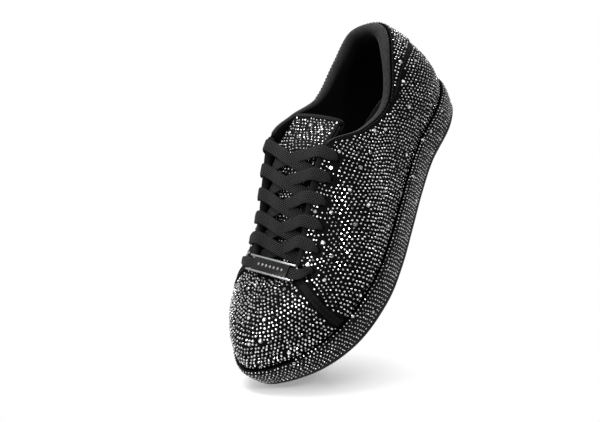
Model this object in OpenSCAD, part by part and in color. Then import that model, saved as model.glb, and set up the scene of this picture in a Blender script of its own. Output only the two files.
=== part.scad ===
// Low lace-up sneaker for the left foot, covered in set crystals.
// Millimetres. The toe points along -Y, the outer (lateral) side is +X, the ground is z = 0.

/* [Pattern] */
// Scale of the whole pattern, 1 is EU 39
pattern_scale = 1; // [0.92:0.01:1.08]
// Height of the line where the upper meets the sole
sole_height = 19; // [18:0.5:21]
// Rise of the sole under the toe
toe_spring = 9; // [7:0.5:10]

/* [Cupsole] */
// How far the top of the sidewall stands outside the upper
wall_out_top = 5.5; // [5:0.25:6.5]
// How far the foot of the sidewall stands outside the upper
wall_out_foot = 3; // [2.5:0.25:4]
// Thickness of the rubber outsole
outsole_t = 3.5; // [3:0.25:4]
// Depth of the tread grooves
tread_depth = 1.6; // [1:0.2:2]

/* [Upper] */
// Thickness of the leather
leather_t = 1.2; // [1:0.1:1.3]
// Thickness of the layer of set crystals
crystal_t = 0.8; // [0.6:0.1:0.9]
// Padding of the collar at the back
collar_pad = 7; // [5:0.5:8]

/* [Laces] */
// Width of the flat lace
lace_w = 8.8; // [6:0.2:9]
// Thickness of the flat lace
lace_t = 1.4; // [1:0.1:1.4]
// Diameter of the punched lace holes
hole_d = 5; // [4.8:0.1:5.4]
// Length of the lace ornament
badge_l = 42; // [36:1:42]

/* [Parts] */
// Sub-part to draw

/* [Hidden] */

black = [0.06, 0.06, 0.07];
charcoal = [0.16, 0.16, 0.17];
lining_grey = [0.11, 0.11, 0.12];
crystal = [0.55, 0.55, 0.58];
foam_grey = [0.32, 0.32, 0.34];
steel = [0.62, 0.63, 0.65];

// Ribs of the upper, from the heel centre round the outer side to the toe and back:
// feather line x, y | top edge x, y, z | lower bulge out, up | upper bulge out, down
ribs = [
    [  0,  136,   0, 127, 92,  9, 22, 10, 20],
    [ 21,  129,  16, 120, 91,  9, 22, 10, 20],
    [ 31,  105,  26, 100, 84,  7, 20,  9, 18],
    [ 31,   70,  31,  68, 68,  4, 16,  6, 14],
    [ 36,   38,  29,  37, 74,  3, 18,  7, 14],
    [ 43,    6,  23,   8, 91,  3, 22, 13, 17],
    [ 50,  -28,  20, -20, 82,  3, 22, 17, 12],
    [ 52,  -58,  19, -47, 68,  3, 20, 20,  8],
    [ 44,  -93,  18, -68, 57,  3, 18, 24,  3],
    [ 24, -120,   8, -75, 55,  3, 18, 29,  0],
    [ -8, -135,  -3, -76, 55,  3, 18, 31, -2],
    [-34, -117, -14, -74, 55,  3, 18, 27,  0],
    [-45,  -92, -23, -68, 57,  3, 18, 21,  3],
    [-46,  -58, -24, -46, 68,  2, 20, 16,  8],
    [-40,  -26, -27, -18, 83,  1, 22, 12, 12],
    [-35,    6, -29,  12, 97,  1, 26,  8, 18],
    [-32,   36, -30,  38, 90,  2, 22,  6, 14],
    [-31,   68, -31,  68, 77,  3, 18,  7, 14],
    [-30,  105, -28, 100, 82,  6, 20,  8, 18],
    [-21,  129, -18, 120, 91,  8, 22, 10, 20]
];
rib_count = len(ribs);
step = 1 / 3;
gap = 0.35;

// Stations along the rib numbering
toe_u = 10;
corner_lat = 5;
corner_med = 15;
seam_lat = 8;
seam_med = 12;

leather = [0.1, 0.1 + leather_t];
stay = [-0.95, -0.1];
lining = [-2, -1.15];
gems = [leather[1] + gap, leather[1] + gap + crystal_t];
strip = [leather[1] + gap, leather[1] + gap + 1];

function lerp(a, b, t) = a + (b - a) * t;
function clamp(x, lo, hi) = min(max(x, lo), hi);
function unit(v) = v / norm(v);
function span(a, b, n) = [for (i = [0 : n]) lerp(a, b, i / n)];
function smooth(t) = let (c = clamp(t, 0, 1)) c * c * (3 - 2 * c);
function blend4(a, b, c, d, t) =
    0.5 * (2 * b + (c - a) * t + (2 * a - 5 * b + 4 * c - d) * t * t + (3 * b - a - 3 * c + d) * t * t * t);

function rib_at(u) =
    let (n = rib_count, w = u - n * floor(u / n), i = floor(w))
    blend4(ribs[(i + n - 1) % n], ribs[i % n], ribs[(i + 1) % n], ribs[(i + 2) % n], w - i);
function feather_z(y) =
    sole_height + 2 * clamp(y / 130, 0, 1) + 6 * pow(clamp((-y - 60) / 75, 0, 1), 2);
function ground_z(y) = toe_spring * pow(clamp((-y - 70) / 70, 0, 1), 2);
function plan_out(u) =
    let (a = rib_at(u + 0.001), b = rib_at(u - 0.001)) unit([b[1] - a[1], a[0] - b[0]]);

// Four control points of the rib curve at u, from the feather line to the top edge
function rib_curve(u) =
    let (a = rib_at(u), n = plan_out(u), foot = [a[0], a[1], feather_z(a[1])], top = [a[2], a[3], a[4]])
    [foot, foot + [n[0] * a[5], n[1] * a[5], a[6]], top + [n[0] * a[7], n[1] * a[7], -a[8]], top];
function curve(c, v) =
    let (w = 1 - v) w * w * w * c[0] + 3 * w * w * v * c[1] + 3 * w * v * v * c[2] + v * v * v * c[3];
function slope(c, v) =
    let (w = 1 - v) 3 * (w * w * (c[1] - c[0]) + 2 * w * v * (c[2] - c[1]) + v * v * (c[3] - c[2]));
function length(c) =
    let (p = curve(c, 0.34), q = curve(c, 0.67)) norm(p - c[0]) + norm(q - p) + norm(c[3] - q);

// Points over the upper at rib u: each pair is height v (0 foot, 1 top edge) and distance outwards
function skin(u, pairs) =
    let (c = rib_curve(u), a = rib_curve(u - 0.02), b = rib_curve(u + 0.02))
    [for (p = pairs)
        let (w = min(p[0], 1), n = unit(cross(slope(c, w), curve(b, w) - curve(a, w))))
        curve(c, p[0]) + n * p[1]];
// The same, with the first number measured in millimetres up from the top edge
function skin_mm(u, pairs) =
    let (l = length(rib_curve(u))) skin(u, [for (p = pairs) [1 + p[0] / l, p[1]]]);

// Shared ladder of heights and shared rib spacing, so that stacked layers have matching facets
layers = 6;
low_v = 0.01;
high_v = 0.985;
function rung(i) = lerp(low_v, high_v, i / layers);
function rungs(a, b) = [for (i = [0 : layers]) if (rung(i) > a + 0.02 && rung(i) < b - 0.02) rung(i)];
function between(a, b) = concat([a], rungs(a, b), [b]);
function ribs_in(a, b) =
    let (near = 0.08,
        shared = [for (i = [floor(a / step) : ceil(b / step)]) i * step],
        kept = [for (u = shared) if (u > a + near && u < b - near) u])
    concat([a], kept, [b]);
function field(us, vs, d) = [for (u = us) skin(u, [for (v = vs(u)) [v, d]])];
module sheet(us, vs, d) {
    slab(field(us, vs, d[1]), field(us, vs, d[0]));
}
full_height = function (u) between(low_v, high_v);

// Closed sheet between two grids of points
module slab(outer, inner, loop = false) {
    n = len(outer);
    m = len(outer[0]);
    k = n * m;
    rows = loop ? n - 1 : n - 2;
    skins = [for (i = [0 : rows], j = [0 : m - 2])
        let (p = i * m + j, q = ((i + 1) % n) * m + j)
        each [[p, q, q + 1], [p, q + 1, p + 1], [p + k, q + 1 + k, q + k], [p + k, p + 1 + k, q + 1 + k]]];
    rims = [for (i = [0 : rows])
        let (p = i * m, q = ((i + 1) % n) * m, s = p + m - 1, t = q + m - 1)
        each [[q, p, p + k], [q, p + k, q + k], [s, t, t + k], [s, t + k, s + k]]];
    ends = loop ? [] : [for (j = [0 : m - 2])
        let (q = (n - 1) * m + j)
        each [[j, j + 1, j + 1 + k], [j, j + 1 + k, j + k], [q + 1, q, q + k], [q + 1, q + k, q + 1 + k]]];
    polyhedron([for (r = outer) each r, for (r = inner) each r], concat(skins, rims, ends), convexity = 8);
}

// Closed bar through a list of closed sections
module bar(sections) {
    n = len(sections);
    m = len(sections[0]);
    sides = [for (i = [0 : n - 2], j = [0 : m - 1])
        let (p = i * m + j, q = i * m + (j + 1) % m)
        each [[p, q + m, q], [p, p + m, q + m]]];
    start = [for (j = [0 : m - 1]) [n * m, j, (j + 1) % m]];
    finish = [for (j = [0 : m - 1]) [n * m + 1, (n - 1) * m + (j + 1) % m, (n - 1) * m + j]];
    points = concat([for (s = sections) each s], [mean(sections[0]), mean(sections[n - 1])]);
    polyhedron(points, concat(sides, start, finish), convexity = 8);
}
function mean(v) = [for (p = v) 1 / len(v)] * v;

// All the shared ribs, once round the shoe
around = [for (u = [0 : step : rib_count - step / 2]) u];

// Plan outline of the last, moved outwards
function outline(u, out) = let (a = rib_at(u), n = plan_out(u)) [a[0] + n[0] * out, a[1] + n[1] * out];

// Closed plate over the sole plan, between two heights that follow y
module plate(out_low, out_high, low, high) {
    us = around;
    m = len(us);
    inner_ring = 0.78;
    face = function (f, out) concat(
        [for (u = us) let (p = outline(u, 0) * inner_ring) [p[0], p[1], f(p[1])]],
        [for (u = us) let (p = outline(u, out)) [p[0], p[1], f(outline(u, 0)[1])]],
        [[0, 0, f(0)]]);
    c = 2 * m;
    k = c + 1;
    fan = [for (j = [0 : m - 1]) let (q = (j + 1) % m) each [[c, j, q], [c + k, q + k, j + k]]];
    quads = [for (p = [0 : m - 1])
        let (q = (p + 1) % m)
        each [[p, p + m, q + m], [p, q + m, q], [p + k, q + m + k, p + m + k], [p + k, q + k, q + m + k]]];
    edges = [for (j = [0 : m - 1])
        let (p = m + j, q = m + (j + 1) % m)
        each [[p, p + k, q + k], [p, q + k, q]]];
    polyhedron(concat(face(high, out_high), face(low, out_low)), concat(fan, quads, edges), convexity = 4);
}

// Middle of the plan, moved to the origin
plan_middle = [2.879, 0.504, 0];
module sized() scale(pattern_scale) translate(-plan_middle) children();

// ---- Sole ----

sole_gap = 0.2;
groove_pitch = 15;
groove_w = 2.4;
groove_angle = 24;
toe_grooves = [-106, -93, -80];
heel_grooves = [for (y = [-6 : groove_pitch : 100]) y];
pivot_y = -42;
pivot_rings = [8, 15, 22];
function groove_l(y) = lerp(34, 23, clamp((y + 20) / 60, 0, 1));

module groove(y, side) {
    translate([0, y, ground_z(y) - 1])
        rotate([0, 0, side * groove_angle])
            translate([side > 0 ? 2 : -2 - groove_l(y), -groove_w / 2, 0])
                cube([groove_l(y), groove_w, 1 + tread_depth]);
}

module pivot_ring(y, r) {
    translate([0, y, -1])
        difference() {
            cylinder(h = 1 + tread_depth, r = r + groove_w / 2, $fn = 36);
            translate([0, 0, -1])
                cylinder(h = 4 + tread_depth, r = r - groove_w / 2, $fn = 36);
        }
}

module outsole() color(black) sized() {
    floor_of = function (y) ground_z(y);
    top_of = function (y) ground_z(y) + outsole_t;
    difference() {
        plate(wall_out_foot - 1, wall_out_foot + 0.4, floor_of, top_of);
        for (y = concat(toe_grooves, heel_grooves)) {
            groove(y, 1);
            groove(y, -1);
        }
        for (r = pivot_rings)
            pivot_ring(pivot_y, r);
    }
}

midsole_out = 0.2;
shank_room = 0.2;
shank_size = [14, 96, 1.6];
shank_at = [0, 34, 11];

module midsole() color(foam_grey) sized() {
    low = function (y) ground_z(y) + outsole_t + sole_gap;
    high = function (y) feather_z(y) - 0.05;
    difference() {
        plate(midsole_out, midsole_out, low, high);
        translate(shank_at)
            cube(shank_size + [shank_room, shank_room, shank_room], center = true);
    }
}

module shank() color(steel) sized() {
    translate(shank_at)
        cube(shank_size, center = true);
}

wall_rise = 3;
wall_in = [0.6, 0.6, 0.6, 2.4, 3.4];
lip_round = 0.9;
function wall_z(y, w) = lerp(ground_z(y) + outsole_t + sole_gap, feather_z(y) + wall_rise, w);
function wall_out(w) =
    lerp(wall_out_foot, wall_out_top, 1 - pow(1 - w, 2)) - lip_round * pow(clamp((w - 0.85) / 0.15, 0, 1), 2);
function wall(ws, extra) = [for (u = around)
    [for (w = ws) let (p = outline(u, wall_out(w) + extra)) [p[0], p[1], wall_z(outline(u, 0)[1], w)]]];
wall_steps = [0, 0.25, 0.6, 0.78, 1];
wall_field = [0.1, 0.25, 0.6, 0.78, 0.9];

module sidewall() color(black) sized() {
    inside = [for (u = around)
        [for (i = [0 : len(wall_steps) - 1])
            let (p = outline(u, wall_in[i])) [p[0], p[1], wall_z(outline(u, 0)[1], wall_steps[i])]]];
    slab(wall(wall_steps, 0), inside, loop = true);
}

module crystals_sidewall() color(crystal) sized() {
    slab(wall(wall_field, 0.05 + crystal_t), wall(wall_field, 0.05), loop = true);
}

board_in = -3;
board_t = 1.2;
sock_in = -3.4;
sock_t = 3.6;

module insole_board() color([0.45, 0.36, 0.26]) sized() {
    low = function (y) feather_z(y) + 0.15;
    high = function (y) feather_z(y) + board_t;
    plate(board_in, board_in, low, high);
}

module sockliner_foam() color(foam_grey) sized() {
    low = function (y) feather_z(y) + board_t + 0.1;
    high = function (y) feather_z(y) + board_t + sock_t;
    plate(sock_in, sock_in, low, high);
}

module sockliner_cover() color(lining_grey) sized() {
    low = function (y) feather_z(y) + board_t + sock_t + 0.03;
    high = function (y) feather_z(y) + board_t + sock_t + 0.8;
    plate(sock_in, sock_in - 0.3, low, high);
}

// ---- Upper ----

hole_back = 12.5;
rows = 6;
function row_k(i) = 0.93 - 0.158 * i;
function eye_lat(k) = 8.3 - 3.3 * k;
function eye_med(k) = 11.7 + 3.3 * k;
function eye(side, k) = side > 0 ? eye_lat(k) : eye_med(k);

// Punched lace holes on one side of the throat
module lace_holes(side) {
    for (i = [0 : rows - 1]) {
        p = skin_mm(eye(side, row_k(i)), [[-hole_back, 0], [-hole_back, 1]]);
        n = p[1] - p[0];
        translate(p[0])
            rotate([0, acos(n[2]), atan2(n[1], n[0])])
                cylinder(h = 12, d = hole_d, center = true, $fn = 14);
    }
}

edge = 0.02;
module vamp() color(black) sized() {
    sheet(ribs_in(seam_lat + edge, seam_med - edge), full_height, leather);
}

module quarter(a, b, side) {
    difference() {
        sheet(ribs_in(a, b), full_height, leather);
        lace_holes(side);
    }
}
module quarter_lateral() color(black) sized() quarter(edge, seam_lat - edge, 1);
module quarter_medial() color(black) sized() quarter(seam_med + edge, rib_count - edge, -1);

// Crystals stop below the lace holes, the collar and the heel tab
gem_low = 0.1;
function from_heel(u) = u > toe_u ? rib_count - u : abs(u);
function tab_low(u) = lerp(0.6, 0.97, pow(from_heel(u) / 3.2, 1.3));
function gem_high(u) =
    let (x = from_heel(u)) x < 3 ? tab_low(u) - 0.05 : lerp(0.9, 0.66, smooth((x - 4.3) / 0.8));
quarter_gems = function (u)
    let (a = rung(2), b = gem_high(u), upper = [for (t = [0.33, 0.67, 1]) lerp(a, b, t)])
    concat([gem_low], rungs(gem_low, a + 0.03), upper);
vamp_gems = function (u) between(gem_low, 0.93);

module crystals_vamp() color(crystal) sized() {
    sheet(ribs_in(seam_lat + 0.25, seam_med - 0.25), vamp_gems, gems);
}
module crystals_quarter_lateral() color(crystal) sized() {
    sheet(ribs_in(0.15, seam_lat - 0.25), quarter_gems, gems);
}
module crystals_quarter_medial() color(crystal) sized() {
    sheet(ribs_in(seam_med + 0.25, rib_count - 0.15), quarter_gems, gems);
}

band_half = 0.16;
band_height = function (u) between(gem_low, 0.74);
module seam_band_lateral() color(charcoal) sized() {
    sheet([seam_lat - band_half, seam_lat, seam_lat + band_half], band_height, strip);
}
module seam_band_medial() color(charcoal) sized() {
    sheet([seam_med - band_half, seam_med, seam_med + band_half], band_height, strip);
}

tab_rows = [0, 0.2, 0.4, 0.6, 0.8, 1];
tab_gem_rows = [0.12, 0.2, 0.4, 0.6, 0.8, 0.86];
tab_height = function (u) [for (t = tab_rows) lerp(tab_low(u), high_v, t)];
tab_gem_height = function (u) [for (t = tab_gem_rows) lerp(tab_low(u), high_v, t)];
tab_gems = [strip[1] + 0.2, strip[1] + 0.2 + crystal_t];

module heel_tab() color(black) sized() {
    sheet(ribs_in(-3, 3), tab_height, strip);
}
module crystals_heel_tab() color(crystal) sized() {
    sheet(ribs_in(-8 / 3, 8 / 3), tab_gem_height, tab_gems);
}

// Stiffeners and linings, inside the leather
puff_height = function (u) [for (i = [0 : 3]) rung(i)];
counter_height = function (u) [for (i = [0 : 2]) rung(i)];
stay_height = function (u) [for (i = [3 : layers]) rung(i)];

module toe_puff() color(foam_grey) sized() {
    sheet(ribs_in(seam_lat + step, seam_med - step), puff_height, stay);
}
module heel_counter() color(foam_grey) sized() {
    sheet(ribs_in(-10 / 3, 10 / 3), counter_height, stay);
}
module eyestay_lateral() color(foam_grey) sized() {
    difference() {
        sheet(ribs_in(corner_lat + edge, seam_lat - edge), stay_height, stay);
        lace_holes(1);
    }
}
module eyestay_medial() color(foam_grey) sized() {
    difference() {
        sheet(ribs_in(seam_med + edge, corner_med - edge), stay_height, stay);
        lace_holes(-1);
    }
}
module forefoot_lining() color(lining_grey) sized() {
    difference() {
        sheet(ribs_in(corner_lat + edge, corner_med - edge), full_height, lining);
        lace_holes(1);
        lace_holes(-1);
    }
}

// ---- Collar ----

collar_us = ribs_in(-corner_lat + edge, corner_lat - edge);
function pad(u) = lerp(collar_pad, 1.6, smooth((abs(u) - 1.2) / 3.4));
function depth(u) = lerp(30, 16, smooth((abs(u) - 2) / 3));

// Section of the padding: [fraction of its depth or height, fraction of its thickness]
pad_outer = [-1, -0.7, -0.4, -0.15, 0];
pad_roll = [[0.32, -0.1], [0.52, -0.3], [0.6, -0.55], [0.5, -0.85], [0.2, -1.08]];
pad_inner = [[-0.12, -1.18], [-0.3, -1.12], [-0.5, -0.85], [-0.75, -0.5], [-1, -0.3]];

// Points round the padding at rib u, swelled outwards by t
pad_back = -0.15;
function roll_point(p, w, s) = [p[0] * w * s, pad_back + (p[1] + 0.5) * w * s - 0.5 * w];
function pad_points(u, t) =
    let (h = depth(u), w = pad(u), s = 1 + t / (0.6 * w))
    [for (p = pad_outer) [p * h, pad_back + t],
     for (p = pad_roll) roll_point(p, w, s),
     for (p = pad_inner) [p[0] * h, pad_back + p[1] * w - t]];

module collar_foam() color(foam_grey) sized() {
    us = [for (u = collar_us) if (abs(u) < 4.8) u];
    bar([for (u = us) skin_mm(u, pad_points(u, -0.1))]);
}

// Lining: over the roll and down the inside to the insole
function collar_sheet(u, t) =
    let (w = pad(u), h = depth(u), l = length(rib_curve(u)), s = 1 + t / (0.6 * w),
        roll = [for (p = pad_roll) let (q = roll_point(p, w, s)) [1 + q[0] / l, q[1]]],
        inside = [for (p = pad_inner) [1 + p[0] * h / l, pad_back + p[1] * w - t]],
        foot = [for (v = span(1 - h * 1.18 / l, low_v, 3)) [v, -1.4 - t]])
    skin(u, concat([[1 + 0.2 / l, 0.25 + t * 0.8]], roll, inside, foot));

module collar_lining() color(lining_grey) sized() {
    slab([for (u = collar_us) collar_sheet(u, 0.95)], [for (u = collar_us) collar_sheet(u, 0.1)]);
}

module throat_binding() color(charcoal) sized() {
    us = ribs_in(corner_lat + 2 * edge, corner_med - 2 * edge);
    over = [[-2.6, 1.9], [-0.6, 1.9], [0.5, 1.4], [0.8, -0.4], [0.5, -2.2], [-0.6, -2.8], [-2.6, -2.8]];
    under = [[-2.6, 1.55], [-0.6, 1.55], [0, 1.1], [0.1, -0.4], [0, -1.8], [-0.6, -2.4], [-2.6, -2.4]];
    slab([for (u = us) skin_mm(u, over)], [for (u = us) skin_mm(u, under)]);
}

// ---- Tongue ----

tongue_run = 85;
tongue_top = 1.3;
tongue_base = -0.08;
tongue_dir = [0, 1, 0];
base_dir = unit([0, 1, 0.12]);
function throat_edge(side, k) =
    k > 1 ? skin(eye(side, 1), [[1, 0]])[0] + tongue_dir * (k - 1) * tongue_run
    : k < 0 ? skin(eye(side, 0), [[1, 0]])[0] + base_dir * k * tongue_run
    : skin(eye(side, k), [[1, 0]])[0];
function tongue_sink(k) = 6.5 + 4.5 * pow(clamp(1 - (k + 0.08) / 0.3, 0, 1), 2);

// Frame of the tongue at k: centre, half width vector, upward direction
function tongue_frame(k) =
    let (l = throat_edge(1, k), m = throat_edge(-1, k), e = 0.02,
        ahead = throat_edge(1, k + e) + throat_edge(-1, k + e),
        behind = throat_edge(1, k - e) + throat_edge(-1, k - e),
        w = (l - m) / 2)
    [(l + m) / 2, w, unit(cross(w, ahead - behind))];
function tongue_point(k, t, h) =
    let (f = tongue_frame(k), rise = tongue_crown(k) * norm(f[1]) * (1 - t * t))
    f[0] + f[1] * t + f[2] * (rise - tongue_sink(k) + h);
function tongue_crown(k) = lerp(0.1, 0.28, smooth((k - 0.1) / 0.35)) - 0.16 * smooth((k - 0.7) / 0.5);
tongue_cells = 12;
tongue_across = [-1, -0.67, -0.33, 0, 0.33, 0.67, 1];
gem_across = [-0.88, -0.67, -0.33, 0, 0.33, 0.67, 0.88];
function tongue_reach(k) = lerp(1.14, 0.82, smooth((k - 0.2) / 0.9));
function tongue_sheet(first, last, ts, h) =
    [for (i = [first : last]) let (k = lerp(tongue_base, tongue_top, i / tongue_cells))
        [for (t = ts) tongue_point(k, t * tongue_reach(k), h)]];
module tongue_layer(low, high, first = 0, last = tongue_cells, across = tongue_across) {
    slab(tongue_sheet(first, last, across, high), tongue_sheet(first, last, across, low));
}

module tongue_face() color(black) sized() tongue_layer(-1.1, 0);
module tongue_foam() color(foam_grey) sized() tongue_layer(-5, -1.2);
module tongue_lining() color(lining_grey) sized() tongue_layer(-5.8, -5.1);
module crystals_tongue() color(crystal) sized() {
    tongue_layer(0.15, 0.15 + crystal_t, 2, tongue_cells - 1, gem_across);
}
module tongue_binding() color(charcoal) sized() {
    k = tongue_top;
    side = tongue_reach(k) + edge;
    rim = function (section) [for (t = span(side, -side, 12))
        [for (p = section) tongue_point(k, t, p[1]) + tongue_dir * p[0]]];
    over = [[-5, 0.9], [0, 1], [2.2, 0.3], [3.4, -2.9], [2.2, -6.1], [0, -6.9], [-5, -6.8]];
    under = [[-5, 0.1], [0, 0.1], [0.7, -0.5], [1.2, -2.9], [0.7, -5.3], [0, -5.9], [-5, -5.9]];
    slab(rim(over), rim(under));
}

// ---- Laces ----

// Stops over the eyestay and down through the hole: [up from the edge, outwards, width]
over_hole = [[3, 4.8, 1], [-3, 4.1, 1], [-8, 3.5, 0.9], [-11.4, 2.8, 0.5],
    [-12.5, 0.9, 0.42], [-12.5, -1.5, 0.42]];
under_hole = [[-11.2, -3.5, 0.5], [-7, -3.8, 0.9], [-2, -4, 1]];
through = concat(over_hole, under_hole);
bar_end = concat([for (i = [3 : len(over_hole) - 1]) over_hole[i]], under_hole);
tail = [[-14, -3.6, 0.5], [-20, -4, 0.8], [-28, -4.2, 0.8], [-33, -4.6, 0.4],
    [-36, -4.8, 0.28], [-44, -4.8, 0.28]];
tucked = concat(over_hole, tail);
function stops(side, k, path) =
    [for (p = path) concat(skin_mm(eye(side, k), [[p[0], p[1]]])[0], [p[2], k])];

// One crossing: out of the hole in row i on one side, over to row i - 1 on the other
upper_strand = [[0.62, 2.4], [0.3, 2.8], [0, 4.4], [-0.35, 4.8], [-0.7, 6.4]];
lower_strand = [[0.62, 2.4], [0.3, 2.4], [0, 2.4], [-0.35, 4.2], [-0.7, 6.4]];
function crossing(side, i) =
    [for (q = side > 0 ? upper_strand : lower_strand)
        let (k = lerp(row_k(i), row_k(i - 1), (1 - q[0]) / 2))
        concat(tongue_point(k, side * q[0], q[1]), [1, k])];
function reverse(v) = [for (i = [len(v) - 1 : -1 : 0]) v[i]];

// Half of the lace, from under the bottom bar up to the top row
function half(side, i) =
    i == 0 ? []
    : concat(crossing(side, i), stops(-side, row_k(i - 1), i == 1 ? tucked : through), half(-side, i - 1));
bar_k = row_k(rows - 1);

// The bottom bar of the lace crosses in front of the throat, with the ornament on it.
// Each stop: x, y, z, width, and how far the lace has turned from flat (-1) to the slope of its row
bar_mid = [1.5, -76, 61.5];
bar_slope = 14;
bar_lean = 6;
bar_yaw = -3.5;
bar_w = 0.85;

function bar_turned(p) =
    let (a = [p[0], p[1] * cos(bar_slope), p[1] * sin(bar_slope)])
    let (b = [a[0] * cos(bar_lean) + a[2] * sin(bar_lean), a[1], a[2] * cos(bar_lean) - a[0] * sin(bar_lean)])
    [b[0] * cos(bar_yaw) - b[1] * sin(bar_yaw), b[0] * sin(bar_yaw) + b[1] * cos(bar_yaw), b[2]];

lat_knee = [[29, -75, 58.6, 0.65, -0.4]];
med_knee = [[-28, -73, 61.6, 0.8, -0.6], [-33.5, -71, 59, 0.62, -0.1]];
bar_line = [for (x = [23, 11.5, 0, -11.5, -23]) concat(bar_mid + bar_turned([x, 0]), [bar_w, -1])];
bar_points = concat(lat_knee, bar_line, med_knee);
lat_half = concat(stops(1, bar_k, bar_end), half(1, rows - 1));
med_half = concat(stops(-1, bar_k, bar_end), half(-1, rows - 1));
lace_path = concat(reverse(med_half), reverse(bar_points), lat_half);

lace_steps = 2;
lace_section = [[-0.5, 0], [-0.4, -0.5], [0.4, -0.5], [0.5, 0], [0.4, 0.5], [-0.4, 0.5]];
function lace_at(x) =
    let (n = len(lace_path), i = clamp(floor(x), 0, n - 2))
    blend4(lace_path[max(i - 1, 0)], lace_path[i], lace_path[i + 1], lace_path[min(i + 2, n - 1)], x - i);
function xyz(p) = [p[0], p[1], p[2]];
function throat_middle(k) = throat_edge(1, k) + throat_edge(-1, k);
function throat_slope(k) = unit(throat_middle(k + 0.1) - throat_middle(k - 0.1));
function lace_across(k) =
    k >= bar_k ? throat_slope(k)
    : unit(lerp(bar_turned([0, 1]), throat_slope(bar_k), (k + 1) / (1 + bar_k)));
function lace_ring(x) =
    let (p = lace_at(x), t = unit(xyz(lace_at(x + 0.02)) - xyz(lace_at(x - 0.02))),
        a = lace_across(p[4]), w = unit(a - t * (a * t)), n = cross(t, w),
        thick = lace_t * (1 + 0.5 * (1 - p[3])))
    [for (q = lace_section) xyz(p) + w * (q[0] * lace_w * p[3]) + n * (q[1] * thick)];

module shoelace() color(charcoal) sized() {
    bar([for (i = [0 : lace_steps * (len(lace_path) - 1)]) lace_ring(i / lace_steps)]);
}

// Lace tips: stiff sleeves on the tucked-in ends
aglet_l = 14;
aglet_d = 3.6;
aglet_bore = 2.9;
module aglet(side) {
    p = skin_mm(eye(side, row_k(0)), [for (i = [len(tail) - 2, len(tail) - 1]) [tail[i][0], tail[i][1]]]);
    n = unit(p[1] - p[0]);
    translate(p[0] + n * 2)
        rotate([0, acos(n[2]), atan2(n[1], n[0])])
            difference() {
                cylinder(h = aglet_l, d = aglet_d, $fn = 18);
                translate([0, 0, -1])
                    cylinder(h = aglet_l - 1, d = aglet_bore, $fn = 18);
            }
}
module aglets() color(black) sized() {
    aglet(1);
    aglet(-1);
}

// ---- Lace ornament ----

badge_w = bar_w * lace_w + 4.1;
rail_w = 1.3;
rail_top = 2.1;
bar_t = 0.9;
bar_under = lace_t / 2 + 0.15 + bar_t;
face_low = lace_t / 2 + 0.45;
face_l = badge_l - 10;
face_t = 0.9;
end_w = 1.8;
bead_d = 2.2;
bead_pitch = 3.6;

module badge_at() {
    translate(bar_mid)
        rotate([bar_slope, bar_lean, bar_yaw])
            children();
}
module badge_frame() color(steel) sized() badge_at() {
    for (side = [-1, 1]) {
        translate([-badge_l / 2, side > 0 ? badge_w / 2 - rail_w : -badge_w / 2, -bar_under])
            cube([badge_l, rail_w, bar_under + rail_top]);
        translate([side > 0 ? badge_l / 2 - end_w : -badge_l / 2, -badge_w / 2 + 0.5, -bar_under])
            cube([end_w, badge_w - 1, bar_t]);
    }
}
module badge_face() color(black) sized() badge_at() {
    translate([-face_l / 2, -badge_w / 2 + rail_w + 0.05, face_low])
        cube([face_l, badge_w - 2 * rail_w - 0.1, face_t]);
    for (i = [-3 : 3])
        translate([i * bead_pitch, 0, face_low + 0.5])
            cylinder(h = 0.9, d = bead_d, $fn = 18);
}

outsole();
midsole();
shank();
sidewall();
crystals_sidewall();
insole_board();
sockliner_foam();
sockliner_cover();
vamp();
crystals_vamp();
toe_puff();
quarter_lateral();
quarter_medial();
crystals_quarter_lateral();
crystals_quarter_medial();
seam_band_lateral();
seam_band_medial();
heel_tab();
crystals_heel_tab();
heel_counter();
eyestay_lateral();
eyestay_medial();
forefoot_lining();
collar_lining();
collar_foam();
throat_binding();
tongue_face();
crystals_tongue();
tongue_foam();
tongue_lining();
tongue_binding();
shoelace();
aglets();
badge_frame();
badge_face();
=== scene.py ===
"""Looks of the crystal-covered sneaker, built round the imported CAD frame. Metres; work inside is in mm."""
import math

import bmesh
import bpy
import numpy as np
from mathutils import Euler, Matrix, Vector


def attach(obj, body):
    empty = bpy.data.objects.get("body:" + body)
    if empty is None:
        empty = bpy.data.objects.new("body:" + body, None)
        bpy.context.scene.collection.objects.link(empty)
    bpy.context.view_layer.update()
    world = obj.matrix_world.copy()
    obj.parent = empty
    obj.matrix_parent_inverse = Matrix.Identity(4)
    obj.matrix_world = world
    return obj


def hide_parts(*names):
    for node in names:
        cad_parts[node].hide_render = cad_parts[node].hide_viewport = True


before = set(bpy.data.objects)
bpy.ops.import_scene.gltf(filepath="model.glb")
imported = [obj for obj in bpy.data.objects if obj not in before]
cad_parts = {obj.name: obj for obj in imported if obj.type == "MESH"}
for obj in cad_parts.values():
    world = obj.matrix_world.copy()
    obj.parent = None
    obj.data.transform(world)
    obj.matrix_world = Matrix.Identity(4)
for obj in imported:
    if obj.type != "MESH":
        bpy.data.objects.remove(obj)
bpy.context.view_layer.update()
scene = bpy.context.scene
rng = np.random.default_rng(11)
join, norm = np.concatenate, np.linalg.norm

# ---- the pattern, as in the CAD

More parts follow.
